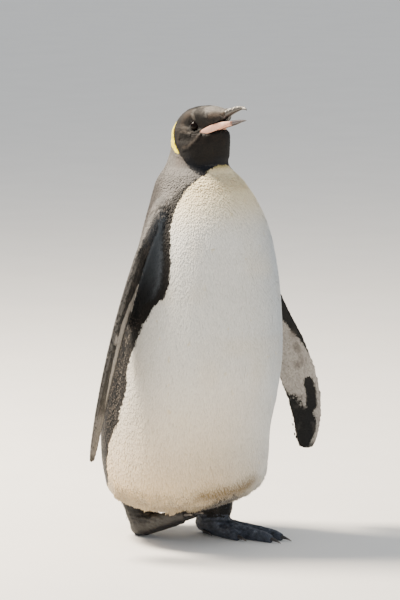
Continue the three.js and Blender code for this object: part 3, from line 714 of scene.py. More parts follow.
def unwrap_tufts(piece, u, v):
    """Gives each feather a small patch at its root's place on the unwrapped skin."""
    patch = 0.003
    row, column = np.divmod(np.arange(12), 3)
    place_u = u[:, None] + (column / 2 - 0.5)[None] * patch
    place_v = v[:, None] - (row / 3)[None] * patch
    layer = piece.data.uv_layers.new(name="OFBake")
    loops = np.empty(len(piece.data.loops), np.int32)
    piece.data.loops.foreach_get("vertex_index", loops)
    spots = np.c_[place_u.ravel(), place_v.ravel()][loops]
    layer.data.foreach_set("uv", spots.astype(np.float32).ravel())


# ---------------------------------------------------------------- materials


def add_node(tree, kind, links=None, **settings):
    """Adds a shader node, sets its properties or inputs and links its inputs to other nodes' outputs."""
    node = tree.nodes.new(kind)
    for key, value in settings.items():
        if hasattr(node, key):
            setattr(node, key, value)
        else:
            node.inputs[key.replace("_", " ")].default_value = value
    for key, output in (links or {}).items():
        tree.links.new(output, node.inputs[key])
    return node


def new_material(name, **sockets):
    """An empty material with a principled shader whose own sockets are set."""
    material = bpy.data.materials.new(name)
    material.use_nodes = True
    shader = material.node_tree.nodes["Principled BSDF"]
    for key, value in sockets.items():
        shader.inputs[key.replace("_", " ")].default_value = value
    return material, material.node_tree, shader


def tint(tree, shader, tone):
    """The painted marking, made lighter and darker by a tone, as the base colour."""
    marking = add_node(tree, "ShaderNodeAttribute", attribute_name="marking")
    shaded = add_node(
        tree, "ShaderNodeVectorMath", {0: marking.outputs["Color"], "Scale": tone}, operation="SCALE")
    tree.links.new(shaded.outputs["Vector"], shader.inputs["Base Color"])


def feather_material(name, roughness, sheen, fleck, barb_mm):
    """Penguin contour feather: keratin barbs in a close overlapping coat, dull with a faint silky sheen.

    The barbs give fine streaks along each feather and the coat's wear gives soft flecks of tone.
    """
    material, tree, shader = new_material(
        name, Roughness=roughness, Sheen_Weight=sheen, Sheen_Roughness=0.45, Specular_IOR_Level=0.2, IOR=1.54)
    place = add_node(tree, "ShaderNodeTexCoord").outputs["Object"]
    wear = add_node(tree, "ShaderNodeTexNoise", {"Vector": place}, Scale=1 / (7 * MM), Detail=3.0)
    tone = add_node(
        tree, "ShaderNodeMapRange", {"Value": wear.outputs["Fac"]}, To_Min=1 - fleck, To_Max=1 + fleck)
    tint(tree, shader, tone.outputs["Result"])
    # The barbs run about along Z, so their noise is drawn out that way.
    drawn_out = add_node(tree, "ShaderNodeMapping", {"Vector": place}, Scale=(1, 1, 0.16))
    barbs = add_node(
        tree, "ShaderNodeTexNoise", {"Vector": drawn_out.outputs["Vector"]}, Scale=1 / (barb_mm * MM),
        Detail=2.0)
    bump = add_node(
        tree, "ShaderNodeBump", {"Height": barbs.outputs["Fac"]}, Strength=0.35, Distance=0.3 * MM)
    tree.links.new(bump.outputs["Normal"], shader.inputs["Normal"])
    return material


def skin_material():
    """Bird skin: scaly keratin on the feet, thin and dark under the feathers.

    It is matt; the tops of the scales are painted lighter as a painted sheen, and their seams darker.
    """
    material, tree, shader = new_material(
        "scaly_bird_skin", Roughness=0.55, Specular_IOR_Level=0.4, IOR=1.5)
    place = add_node(tree, "ShaderNodeTexCoord").outputs["Object"]
    # Scales about 2 mm across, as on the toes of the real bird.
    scales = add_node(
        tree, "ShaderNodeTexVoronoi", {"Vector": place}, feature="DISTANCE_TO_EDGE", Scale=1 / (2.2 * MM))
    domes = add_node(tree, "ShaderNodeMapRange", {"Value": scales.outputs["Distance"]}, From_Max=0.3)
    wrinkle = add_node(tree, "ShaderNodeTexNoise", {"Vector": place}, Scale=1 / (5 * MM), Detail=4.0)
    # Painted sheen: the base colour is lighter on the tops of the scales and darker at their seams.
    tone = add_node(
        tree, "ShaderNodeMapRange", {"Value": domes.outputs["Result"]}, To_Min=0.55, To_Max=1.15)
    worn = add_node(
        tree, "ShaderNodeMapRange", {"Value": wrinkle.outputs["Fac"]}, To_Min=0.7, To_Max=1.35)
    both = add_node(
        tree, "ShaderNodeMath", {0: tone.outputs["Result"], 1: worn.outputs["Result"]}, operation="MULTIPLY")
    tint(tree, shader, both.outputs["Value"])
    bump = add_node(
        tree, "ShaderNodeBump", {"Height": domes.outputs["Result"]}, Strength=0.8, Distance=0.5 * MM)
    tree.links.new(bump.outputs["Normal"], shader.inputs["Normal"])
    return material


def horn_material(name, roughness, streak_mm):
    """Keratin horn: layered growth streaks along the horn, worn paler where it rubs, satin to the eye."""
    material, tree, shader = new_material(name, Roughness=roughness, Specular_IOR_Level=0.5, IOR=1.54)
    place = add_node(tree, "ShaderNodeTexCoord").outputs["Object"]
    growth = add_node(
        tree, "ShaderNodeTexNoise", {"Vector": place}, Scale=1 / (streak_mm * MM), Detail=5.0)
    tone = add_node(tree, "ShaderNodeMapRange", {"Value": growth.outputs["Fac"]}, To_Min=0.7, To_Max=1.3)
    tint(tree, shader, tone.outputs["Result"])
    bump = add_node(
        tree, "ShaderNodeBump", {"Height": growth.outputs["Fac"]}, Strength=0.25, Distance=0.3 * MM)
    tree.links.new(bump.outputs["Normal"], shader.inputs["Normal"])
    return material


def eye_material():
    """Wet eye: a clear smooth cornea over a dark brown iris, whose fibres give a fine uneven tone."""
    material, tree, shader = new_material("wet_eye", Roughness=0.13, IOR=1.36, Specular_IOR_Level=0.13)
    place = add_node(tree, "ShaderNodeTexCoord").outputs["Object"]
    fibres = add_node(tree, "ShaderNodeTexNoise", {"Vector": place}, Scale=1 / (0.9 * MM), Detail=3.0)
    tone = add_node(tree, "ShaderNodeMapRange", {"Value": fibres.outputs["Fac"]}, To_Min=0.6, To_Max=1.4)
    tint(tree, shader, tone.outputs["Result"])
    return material


# ---------------------------------------------------------------- settings


class PenguinSizes(bpy.types.PropertyGroup):
    """Sizes of the skin and the coat."""

    skin_cell: FloatProperty(
        name="Skin cell", description="Size of the skin's mesh cells", default=1.9 * MM, unit="LENGTH")
    trunk_coat: FloatProperty(
        name="Trunk coat", description="Depth of the feathers on the trunk", default=2.3 * MM, unit="LENGTH")
    head_coat: FloatProperty(
        name="Head coat", description="Depth of the feathers on the head", default=1.3 * MM, unit="LENGTH")
    flipper_coat: FloatProperty(
        name="Flipper coat", description="Depth of the feathers on the flippers", default=0.8 * MM,
        unit="LENGTH")
    belly_vane: FloatProperty(
        name="Belly feather", description="Length of a belly feather", default=12 * MM, unit="LENGTH")
    back_vane: FloatProperty(
        name="Back feather", description="Length of a back feather", default=10.5 * MM, unit="LENGTH")


class PenguinColours(bpy.types.PropertyGroup):
    """Colour of the studio floor."""

    floor: FloatVectorProperty(
        name="Floor", description="Studio floor", default=linear("#f6f3ee"), subtype="COLOR", size=3)


def sizes():
    """The sizes as the user has set them."""
    return bpy.context.scene.penguin_sizes


# ---------------------------------------------------------------- the skin

FORWARD = np.array([-math.sin(HEAD_TURN), -math.cos(HEAD_TURN), 0])
LEFTWARD = np.array([math.cos(HEAD_TURN), -math.sin(HEAD_TURN), 0])
HEAD_AXIS = np.array([SWAY["head"], HEAD_AXIS_Y, 0]) + ORIGIN_SHIFT
EYE_RADIUS = 8.0
EYE_OPENING = {"along": 4.4, "across": 3.3}
EYE_PLACE = {"ahead": 23.0, "out": 23.4, "height": 689.0}
# How much the solids are swollen so that they fuse across their thin gaps.
SWELL = 0.35
# How strongly each part is smoothed, from 0 to 1.
SMOOTHING = {"head": 0.2, "foot": 0.12, "flipper": 0.4, "leg": 0.45}
BODY_SMOOTHING = 0.62
# Share of the skin's triangles that is kept under the feathers.
KEPT_SHARE = 0.34
# Depth of the wrinkles of the feet.
FOLD_DEPTH = 0.55
# The feet lie on either side of this x.
FEET_PART = -20
# The feathered root of the upper bill: ahead of the head's axis, half width, low and high edge.
BILL_ROOT = np.array([
    [50, 11.6, 688, 708.8], [64, 10.4, 694, 713.0], [78, 9.0, 701, 718.0], [92, 7.6, 707.8, 721.8],
])
# Where the feathers end on it: height and place ahead.
ROOT_EDGE = np.array([[690, 66], [700, 76], [709, 91], [714, 92], [722, 88]])

# Surfaces that the feathers are set against, filled as the skin, the bill and its plates are built.
SKIN = {}
HARD_PARTS = []


def skin_depth(node):
    """How far the skin lies inside a solid of flesh, in millimetres."""
    coat = sizes()
    depths = {
        "head": coat.head_coat / MM,
        "flipper": coat.flipper_coat / MM,
        "tail": 1.2,
        "leg": 1.0,
        "foot": 0.0,
    }
    return depths.get(node.split("_")[0], coat.trunk_coat / MM)


def eye_frames():
    """Side, middle, facing direction, upward and forward direction of each eye, in millimetres."""
    for side, sign in SIDES.items():
        out = FORWARD * EYE_PLACE["ahead"] + LEFTWARD * sign * EYE_PLACE["out"]
        facing = unit(LEFTWARD * sign + FORWARD * 0.12)
        up = unit(np.array([0, 0, 1.0]) - facing * facing[2])
        yield side, HEAD_AXIS + out + [0, 0, EYE_PLACE["height"]], facing, up, np.cross(facing, up)


def eye_oval(away, up, ahead):
    """How far places lie from the middle of an eye's opening: 1 on its rim."""
    return np.hypot(away @ ahead / EYE_OPENING["along"], away @ up / EYE_OPENING["across"])


def head_place(co):
    """Places in the head's own directions: ahead of its axis, out to the left, and height."""
    away = co - HEAD_AXIS
    return away @ FORWARD, away @ LEFTWARD, co[:, 2]


def flipper_root(side):
    """The middle of a shoulder."""
    return np.array(FLIPPER_LINES[side][0]) + ORIGIN_SHIFT


def use_up(piece):
    """The arrays of a helper object's mesh after its modifiers; the helper is removed."""
    result = bpy.data.meshes.new_from_object(piece.evaluated_get(bpy.context.evaluated_depsgraph_get()))
    arrays = mesh_arrays(result)
    source = piece.data
    bpy.data.meshes.remove(result)
    bpy.data.objects.remove(piece)
    bpy.data.meshes.remove(source)
    return arrays


def voxel_mesh(corners, faces, cell, material):
    """An even mesh over a set of closed solids, as corners, triangles and edges."""
    block = make_object("block", corners, faces, material)
    remesh = block.modifiers.new("even", "REMESH")
    remesh.mode = "VOXEL"
    remesh.voxel_size = cell * MM
    return use_up(block)


def thin_out(co, triangles, keep, share, material):
    """Fewer, larger triangles away from the corners to keep, as corners and triangles."""
    rough = make_object("thinned", co, triangles, material)
    group = rough.vertex_groups.new(name="thin")
    group.add(np.flatnonzero(~keep).tolist(), 1.0, "REPLACE")
    group.add(np.flatnonzero(keep).tolist(), 0.0, "REPLACE")
    collapse = rough.modifiers.new("fewer", "DECIMATE")
    collapse.ratio = share
    collapse.vertex_group = "thin"
    collapse.vertex_group_factor = 1.0
    return use_up(rough)[:2]


def split_faces(co, triangles, near):
    """Cuts the triangles that are marked into four, with their neighbours cut to match."""
    edges = np.sort(triangles[:, [0, 1, 1, 2, 2, 0]].reshape(-1, 2), axis=1)
    edges, index = np.unique(edges, axis=0, return_inverse=True)
    index = index.reshape(-1, 3)
    cut = np.zeros(len(edges), bool)
    cut[index[near].ravel()] = True
    middle = np.full(len(edges), -1)
    middle[cut] = len(co) + np.arange(cut.sum())
    co = np.concatenate([co, co[edges[cut]].mean(1)])
    out = []
    for cuts in range(8):
        match = (cut[index] == [bool(cuts & 1), bool(cuts & 2), bool(cuts & 4)]).all(1)
        a, b, c = triangles[match].T
        ab, bc, ca = middle[index[match]].T
        if cuts == 0:
            parts = [(a, b, c)]
        elif cuts == 7:
            parts = [(a, ab, ca), (ab, b, bc), (ca, bc, c), (ab, bc, ca)]
        elif cuts in (1, 2, 4):
            turn = {1: (a, b, c, ab), 2: (b, c, a, bc), 4: (c, a, b, ca)}[cuts]
            parts = [(turn[0], turn[3], turn[2]), (turn[3], turn[1], turn[2])]
        else:
            turn = {3: (a, b, c, ab, bc), 6: (b, c, a, bc, ca), 5: (c, a, b, ca, ab)}[cuts]
            parts = [(turn[3], turn[1], turn[4]), (turn[0], turn[3], turn[4]), (turn[0], turn[4], turn[2])]
        out += [np.stack(part, -1) for part in parts]
    return co, np.concatenate(out)


def bill_root():
    """A short tapered plug over the root of the upper bill, which carries the forehead feathers on to it."""
    angle = np.arange(16) * math.pi / 8
    rings = []
    for ahead, half_width, low, high in BILL_ROOT:
        middle = HEAD_AXIS + FORWARD * ahead + [0, 0, (low + high) / 2]
        out = LEFTWARD * half_width * np.cos(angle)[:, None]
        rings.append(middle + out + np.array([0, 0, (high - low) / 2]) * np.sin(angle)[:, None])
    ends = [rings[0].mean(0), rings[-1].mean(0)]
    co = np.concatenate(rings + [np.array(ends)])
    faces = []
    for i in range(16):
        j = (i + 1) % 16
        for start in (0, 16, 32):
            a, b, c, d = start + i, start + j, start + 16 + j, start + 16 + i
            faces += [[a, b, c], [a, c, d]]
        faces += [[64, j, i], [65, 48 + i, 48 + j]]
    return co, np.array(faces)


def gather_flesh():
    """The solids of flesh with the bill root, as corners, triangles and each triangle's place in FLESH."""
    pieces = []
    for name in FLESH:
        co, triangles = node_arrays(name)
        pieces.append((co + vertex_normals(co, triangles) * SWELL, triangles))
    pieces.append(bill_root())
    owners = [*range(len(FLESH)), FLESH.index("head")]
    starts = np.cumsum([0] + [len(co) for co, _ in pieces[:-1]])
    corners = np.concatenate([co for co, _ in pieces])
    faces = np.concatenate([triangles + start for (_, triangles), start in zip(pieces, starts)])
    return corners, faces, np.repeat(owners, [len(triangles) for _, triangles in pieces])


def model_face(co, normal):
    """Raises the brow and cheek folds and sinks the hollows of the face."""
    ahead, _, height = head_place(co)
    face = (height > 630) & (ahead > -60)
    for path, half_width, _, _, rise in FACE_PATHS:
        if rise:
            co[face] += normal[face] * (near_path(co[face], path, half_width, 0.2) * rise)[:, None]
    return co


def seat_eyes(co):
    """Draws the skin over each eyeball as two lids round an oval opening, with a fold outside them."""
    for _, centre, facing, up, ahead in eye_frames():
        away = co - centre
        near = (np.linalg.norm(away, axis=1) < 17) & (away @ facing > 0)
        local = away[near]
        distance = np.linalg.norm(local, axis=1)
        oval = eye_oval(local, up, ahead)
        lid = EYE_RADIUS + 0.55 + 0.35 * bell(oval, 1.25, 0.14)
        target = np.where(oval < 1, EYE_RADIUS - 0.9, np.maximum(lid, distance * (oval > 1.5)))
        target = np.where((oval >= 1) & (oval <= 1.5), lid, target)
        target = target - 0.5 * bell(oval, 1.62, 0.1)
        moved = distance + (target - distance) * fade(oval, 1.5, 2.1)
        co[near] = centre + local / distance[:, None] * moved[:, None]
    return co


def foot_folds(co):
    """Wrinkles of the bare feet, from -1 in a crease to 1 on a ridge, with rings at the ankles."""
    wrinkles = noise(co * [1, 1, 1.5], 5, 45) * 0.6 + noise(co, 2.6, 46) * 0.4
    rings = np.sin(co[:, 2] * 0.95 + noise(co, 14, 47) * 2.2) * between(co[:, 2], 22, 54, 6)
    return np.clip(wrinkles + rings * 0.5, -1, 1)


def foot_colours(co, normal):
    """Slate left foot and near black right foot with its sole, the right painted darker as painted shade;
    painted shade at the tops of the legs and in the creases, painted highlights on the ridges.
    """
    right = co[:, 0] < FEET_PART
    folds = foot_folds(co)
    # The right foot is painted far darker than the left, as painted shade.
    foot = np.where(right[:, None], plain(SHADED_FOOT_RIGHT, len(co)), plain(FOOT_LEFT, len(co)))
    foot = mix(foot, "#1d1a19", smoothstep(-co[:, 1], -10, 45) * 0.6 * right)
    foot = mix(foot, SOLE, fade(normal[:, 2], -0.7, -0.1) * 0.6 * right)
    # Painted shade at the tops of the legs, under the belly.
    foot = mix(foot, "#171516", smoothstep(co[:, 2], 52, 62) * 0.8)
    # Painted highlights on ridges that face up, and painted shade in the creases.
    lit = smoothstep(folds, 0, 0.6) * smoothstep(normal[:, 2], -0.2, 0.6)
    ridge = np.where(right[:, None], plain("#4c453e", len(co)), plain("#7c8390", len(co)))
    return mix(foot, ridge, lit * 0.5) * (1 - 0.6 * smoothstep(-folds, 0.05, 0.6))[:, None]


def skin_colours(co, bare, normal):
    """The coat's markings carried to the skin, a little darker, and the colours of the bare feet."""
    darker = 0.75
    body = lattice(body_surface, np.linspace(0, TOP_STATION, 260), 5, 40)
    samples = [body["point"]]
    colours = [body_markings(body["row"], body["angle"], body["point"])[0] * darker]
    for side in SIDES:
        wing = lattice(flipper_surface(side), np.linspace(0.08, 1, 120), 4, 41)
        samples.append(wing["point"])
        colours.append(flipper_markings(wing["row"], wing["angle"], wing["point"], side)[0] * darker)
    tail = lattice(tube_surface(TAIL_ROWS), np.linspace(0.1, 1, 30), 5, 42)
    samples.append(tail["point"])
    colours.append(plain("#22201f", len(tail["point"])))
    samples, colours = np.concatenate(samples), np.concatenate(colours)
    tree = KDTree(len(samples))
    for index, point in enumerate(samples.tolist()):
        tree.insert(point, index)
    tree.balance()
    found = colours[[tree.find(point)[1] for point in co.tolist()]]
    return mix(found, foot_colours(co, normal), bare)


class BuildSkin(bpy.types.Operator):
    """One skin over all the flesh, inside the solids by the coat's depth"""

    bl_idname = "penguin.skin"
    bl_label = "Skin"

    def execute(self, context):
        material = skin_material()
        corners, faces, owner = gather_flesh()
        solids = BVHTree.FromPolygons(corners.tolist(), faces.tolist())

        def nearest_part(co):
            return owner[[solids.find_nearest(p)[2] for p in co.tolist()]]

        co, triangles, edges = voxel_mesh(corners, faces, sizes().skin_cell / MM, material)
        region = nearest_part(co)
        co = self.smooth(co, triangles, edges, region)
        keep = np.isin(region, [FLESH.index(name) for name in ("head", "foot_left", "foot_right")])
        co, triangles = thin_out(co, triangles, keep, KEPT_SHARE, material)
        for _ in range(2):
            middle = co[triangles].mean(1)
            near = [np.linalg.norm(middle - centre, axis=1) < 13 for _, centre, *_ in eye_frames()]
            co, triangles = split_faces(co, triangles, near[0] | near[1])
        co = seat_eyes(model_face(co, vertex_normals(co, triangles)))
        folds = foot_folds(co) * fade(co[:, 2], 62, 74) * FOLD_DEPTH
        co += vertex_normals(co, triangles) * folds[:, None]
        co[:, 2] = np.maximum(co[:, 2], 0.02)
        bare_parts = [FLESH.index(part + side) for part in ("foot_", "leg_") for side in SIDES]
        bare = np.isin(nearest_part(co), bare_parts).astype(float)
        edges = np.sort(triangles[:, [0, 1, 1, 2, 2, 0]].reshape(-1, 2), axis=1)
        bare = relax(bare[:, None], np.unique(edges, axis=0), np.full(len(co), 0.5), 2)[:, 0]
        piece = make_object("skin", co, triangles, material)
        paint(piece, skin_colours(co, bare, vertex_normals(co, triangles)))
        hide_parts(*FLESH)
        SKIN["tree"] = BVHTree.FromPolygons(co.tolist(), triangles.tolist())
        return {"FINISHED"}

    def smooth(self, co, triangles, edges, region):
        """Smooths the joins away, most of all at the shoulders, and sinks the skin by the coat's depth."""
        smoothing = np.array([SMOOTHING.get(name.split("_")[0], BODY_SMOOTHING) for name in FLESH])[region]
        depth = np.array([skin_depth(name) for name in FLESH])[region]
        even = np.full(len(co), 0.5)
        for side in SIDES:
            smoothing[np.linalg.norm(co - flipper_root(side), axis=1) < 62] = BODY_SMOOTHING
        smoothing = relax(smoothing[:, None], edges, even, 8)[:, 0]
        depth = relax(depth[:, None], edges, even, 10)[:, 0]
        co = relax(co, edges, smoothing, 14)
        co = relax(co, edges, smoothing * (smoothing > 0.5), 40)
        shoulder = np.zeros(len(co))
        for side in SIDES:
            away = np.linalg.norm(co - (flipper_root(side) + [0, 0, 6]), axis=1)
            shoulder += fade(away, 26, 60)
        co = relax(co, edges, np.clip(shoulder, 0, 1) * 0.6, 160)
        return co - vertex_normals(co, triangles) * (depth + SWELL * 0.6)[:, None]


# ---------------------------------------------------------------- the coat

# Share of its length at which a feather's marking is read.
READ_AT = {"body": 0.7, "flipper": 0.6}
# Angles from the breast, in degrees, that the front and the rear coats cover.
FRONT, REAR = (0, 104), (104, 181)


def settle(places, reach):
    """Moves feather roots onto the skin and drops the ones the skin doesn't pass near."""
    found = [SKIN["tree"].find_nearest(point) for point in places["point"].tolist()]
    distance = np.array([f[3] for f in found])
    keep = distance < reach
    root = np.array([f[0] for f in found])[keep]
    skin_normal = np.array([f[1] for f in found])[keep]
    out = chosen(places, keep)
    sign = np.sign((skin_normal * out["normal"]).sum(1))
    sign[sign == 0] = 1
    own = (0.35 * fade(distance[keep], 1.5, 4))[:, None]
    out["normal"] = unit(skin_normal * (1 - own) + out["normal"] * sign[:, None] * own)
    out["point"] = root
    return out


def chosen(places, keep):
    """The places that are marked to be kept."""
    return {key: value[keep] for key, value in places.items()}


def along_speed(surface, row, angle, step):
    """How many millimetres one unit of row is at each place."""
    return np.linalg.norm(surface(row + step, angle) - surface(row - step, angle), axis=-1) / (2 * step)


def add_coat(name, places, length, width, lift, colours, pointed, material, seed, last_row=1, variety=0.12):
    """One joined mesh of feathers: sizes in millimetres, colours of root and tip, and pointed from 0 to 1."""
    corners, quads, shade = vanes(places, length, width, lift, colours, pointed, seed, variety)
    corners[:, 2] = np.maximum(corners[:, 2], 0.3)
    piece = make_object(name, corners, quads, bpy.data.materials[material])
    paint(piece, np.clip(shade, 0, 1))
    around = (places["angle"] / (2 * math.pi)) % 1
    unwrap_tufts(piece, 0.01 + 0.98 * around, 0.01 + 0.98 * places["row"] / last_row)


def body_coat(name, stations, gaps, length, width, lift, material, seed, sector=(0, 181), reach=11.0):
    """Feathers over a stretch of the body, lying down and back from the bill."""
    rows = even_rows(body_surface, *stations, gaps[1])
    places = lattice(body_surface, rows, gaps[0], seed)
    turn = turned_from_breast(places["angle"])
    places = settle(chosen(places, (turn >= sector[0]) & (turn < sector[1])), reach)
    places["lie"] = -places["along"]
    places = chosen(places, clear_of_hard_parts(places["point"]))
    row, angle = places["row"], places["angle"]
    inner_row = np.clip(row, 0.06, TOP_STATION - 0.06)
    speed = np.maximum(along_speed(body_surface, inner_row, angle, 0.05), 4)
    seen = np.clip(row - READ_AT["body"] * length / speed, 0, TOP_STATION)
    seen_point = places["point"] + places["lie"] * length * READ_AT["body"]
    colours = body_markings(seen, angle, seen_point)
    pointed = np.where(row < 13.6, 0.9 * fade(turned_from_breast(angle), 70, 100), 0.5)
    variety = 0.03 if "white" in material else 0.14
    add_coat(name, places, length, width, lift, colours, pointed, material, seed + 50, TOP_STATION, variety)


def clear_of_hard_parts(point):
    """True where a feather root is clear of the eyes, the bill and its plates."""
    clear = np.ones(len(point), bool)
    for _, centre, _, up, ahead in eye_frames():
        away = point - centre
        clear &= (eye_oval(away, up, ahead) > 1.45) | (np.linalg.norm(away, axis=1) > 13)
    for tree in HARD_PARTS:
        close = np.array([tree.find_nearest(p, 12.0)[3] or 99 for p in point.tolist()])
        clear &= close > 0.7
    return clear


class BuildBodyCoat(bpy.types.Operator):
    """Contour feathers of the breast, belly, back and neck"""

    bl_idname = "penguin.body_coat"
    bl_label = "Body feathers"

    def execute(self, context):
        feather_material("white_contour_feather", 0.65, 0.12, 0.04, 1.3)
        feather_material("grey_contour_feather", 0.5, 0.03, 0.1, 1.3)
        size = sizes()
        belly, back, lift = size.belly_vane / MM, size.back_vane / MM, size.trunk_coat / MM
        # Stations, gaps across and along, length, width and lift.
        front = [
            ("coat_belly_low", (0.2, 5.6), (2.7, 3.6), belly, 4.4, lift),
            ("coat_belly_middle", (5.6, 8.0), (2.7, 3.6), belly, 4.4, lift),
            ("coat_belly_high", (8.0, 10.4), (2.6, 3.4), belly * 0.9, 4.2, lift),
            ("coat_breast", (10.4, 14.2), (2.3, 3.0), belly * 0.7, 3.7, lift),
        ]
        rear = [
            ("coat_rump", (0.2, 6.6), (2.5, 2.9), back * 0.8, 3.3, lift),
            ("coat_back", (6.6, 9.6), (2.5, 2.9), back * 0.8, 3.3, lift),
            ("coat_mantle", (9.6, 12.6), (2.3, 2.8), back * 0.75, 3.2, lift * 0.9),
            ("coat_collar", (12.6, 14.8), (2.1, 2.5), back * 0.6, 3.0, lift * 0.8),
        ]
        for seed, coat in enumerate(front, 1):
            body_coat(*coat, "white_contour_feather", seed, FRONT)
        self.fringe()
        for seed, coat in enumerate(rear, 5):
            body_coat(*coat, "grey_contour_feather", seed, REAR)
        return {"FINISHED"}

    def fringe(self):
        """Longer loose feathers that hang from the lower rim of the belly."""
        rows = even_rows(body_surface, 2.9, 4.5, 3.4)
        places = settle(lattice(body_surface, rows, 3.0, 9), 6.0)
        places = chosen(places, turned_from_breast(places["angle"]) < 106)
        down = np.array([0, 0, -0.8])
        places["lie"] = unit(-places["along"] * 0.7 + down + places["normal"] * 0.12)
        random = np.random.default_rng(10)
        tuft = noise(places["point"], 13, 28)
        length = 6 + 4 * smoothstep(tuft, -0.4, 0.8) + random.uniform(-1, 2, len(tuft))
        colour, tip = body_markings(places["row"] - 0.15, places["angle"], places["point"])
        # Painted shade, a darker brown, where the fringe's feathers are short.
        colour = mix(colour, "#8f8470", 0.5 * smoothstep(-tuft, -0.4, 0.8))
        add_coat(
            "coat_belly_fringe", places, length, 3.0, 2.6, (colour, tip), 0.95, "white_contour_feather", 59,
            TOP_STATION, 0.06)


class BuildHeadCoat(bpy.types.Operator):
    """Short close feathers of the head and throat"""

    bl_idname = "penguin.head_coat"
    bl_label = "Head feathers"

    def execute(self, context):
        material = "velvety_head_feather"
        feather_material(material, 0.7, 0.0, 0.08, 0.9)
        lift = sizes().head_coat / MM
        body_coat("coat_throat", (14.2, 16.2), (1.8, 2.1), 4.6, 2.7, lift * 1.1, material, 11, FRONT, 4.5)
        body_coat("coat_nape", (14.8, 16.2), (1.9, 2.2), 5.0, 2.8, lift * 1.2, material, 12, REAR, 4.5)
        body_coat("coat_head", (16.2, 22.9), (1.6, 1.9), 3.7, 2.3, lift, material, 13, reach=3.6)
        self.bill_root_feathers(lift * 0.6, material)
        return {"FINISHED"}

    def bill_root_feathers(self, lift, material):
        """Very short feathers that run out over the root of the upper bill, ending in a slanting edge."""
        start, end = BILL_ROOT[0, 0], BILL_ROOT[-1, 0]

        def surface(row, angle):
            ahead = start + row * (end - start)
            half_width, low, high = (np.interp(ahead, *BILL_ROOT.T[[0, i]]) for i in (1, 2, 3))
            out = LEFTWARD * (half_width * np.cos(angle))[..., None]
            up = np.array([0, 0, 1.0]) * ((low + high) / 2 + (high - low) / 2 * np.sin(angle))[..., None]
            return HEAD_AXIS + FORWARD * ahead[..., None] + out + up

        places = lattice(surface, np.linspace(0.02, 0.98, 26), 1.4, 14)
        ahead, _, height = head_place(places["point"])
        before_edge = np.interp(height, *ROOT_EDGE.T) - ahead
        keep = before_edge > 0
        places = chosen(places, keep)
        ahead, height, before_edge = ahead[keep], height[keep], before_edge[keep]
        places["lie"] = -FORWARD * np.ones((len(ahead), 1))
        above_crown = height - np.interp(ahead, [start, end], [704, 717.5])
        colour = mix(plain("#17120f", len(ahead)), "#43382f", smoothstep(above_crown, -9, -4) * 0.7)
        colour = mix(colour, "#6d6863", smoothstep(above_crown, -3, 1) * 0.7)
        # Painted highlight along the feathers' slanting edge, low on the root.
        colour = mix(colour, "#a79fa3", smoothstep(-before_edge, -3, -1.5) * fade(height, 706, 712) * 0.4)
        # Its strip of the unwrapped skin is a forty-ninth of the whole.
        add_coat("coat_bill_root", places, 3.2, 2.0, lift, (colour, colour), 0.5, material, 15, 49)


class BuildFlipperCoat(bpy.types.Operator):
    """Small scale-like feathers of both flippers"""

    bl_idname = "penguin.flipper_coat"
    bl_label = "Flipper feathers"

    def execute(self, context):
        feather_material("flipper_scale_feather", 0.55, 0.02, 0.1, 1.0)
        lift = sizes().flipper_coat / MM
        flipper_length = 320
        for seed, side in enumerate(SIDES, 60):
            surface = flipper_surface(side)
            rows = even_rows(surface, 0.05, 0.985, 2.7)
            places = settle(lattice(surface, rows, 2.3, seed), 3.4)
            # None on the thin trailing edge, where they would stand off on both sides.
            places = chosen(places, np.cos(places["angle"]) > -0.965)
            places["lie"] = places["along"]
            row, angle = places["row"], places["angle"]
            length = np.interp(row, [0, 0.15, 0.4, 1], [8.5, 7, 5.2, 4.2])
            width = np.interp(row, [0, 0.4, 1], [3.6, 2.9, 2.5])
            rise = np.interp(row, [0, 0.3, 1], [lift * 1.6, lift, lift * 0.8])
            seen = np.clip(row + READ_AT["flipper"] * length / flipper_length, 0, 1)
            seen_point = places["point"] + places["lie"] * length[:, None] * READ_AT["flipper"]
            colours = flipper_markings(seen, angle, seen_point, side)
            add_coat(
                "coat_flipper_" + side, places, length, width, rise, colours, 0.35, "flipper_scale_feather",
                seed + 50)
        return {"FINISHED"}


class BuildLegAndTailCoat(bpy.types.Operator):
    """Short feathers round the tops of the legs, and the stiff tail feathers"""

    bl_idname = "penguin.leg_tail_coat"
    bl_label = "Leg and tail feathers"

    def execute(self, context):
        material = "stiff_tail_feather"
        feather_material(material, 0.55, 0.1, 0.12, 1.2)
        for seed, side in enumerate(SIDES, 70):
            surface = tube_surface(SHANKS[side])
            rows = even_rows(surface, 0.35, 0.95, 2.8)
            places = settle(lattice(surface, rows, 2.6, seed), 4.0)
            places["lie"] = unit(-places["along"])
            brown = smoothstep(noise(places["point"], 12, 71), -0.1, 0.8)
            colour = mix(plain("#161516", len(brown)), "#3a3531", brown)
            colours = (colour * 0.7, mix(colour, "#6f6a63", 0.1) * 0.7)
            add_coat("coat_leg_" + side, places, 6.0, 3.0, 1.0, colours, 0.5, material, seed + 50)
        surface = tube_surface(TAIL_ROWS)
        places = settle(lattice(surface, even_rows(surface, 0.12, 0.8, 5.0), 4.0, 73), 4.0)
        places["lie"] = places["along"]
        brown = smoothstep(noise(places["point"], 10, 74), 0, 0.8)
        colour = mix(plain("#1f1d1c", len(brown)), "#4b4643", brown)
        length = np.clip((1 - places["row"]) * 92, 12, 40)
        colours = (colour, mix(colour, "#77706a", 0.3))
        add_coat("coat_tail", places, length, 5.0, 1.2, colours, 0.8, material, 75)
        return {"FINISHED"}


# ---------------------------------------------------------------- bill, plates, claws and eyes

# Lower and upper edge of the upper bill's side: place ahead, low and high.
BILL_SIDE = np.array([
    [52, 688, 707], [75, 699.6, 715.8], [96, 709.4, 722.4], [117, 717.5, 727.5], [133, 722.8, 729.2],
    [149, 722.6, 724.4],
])
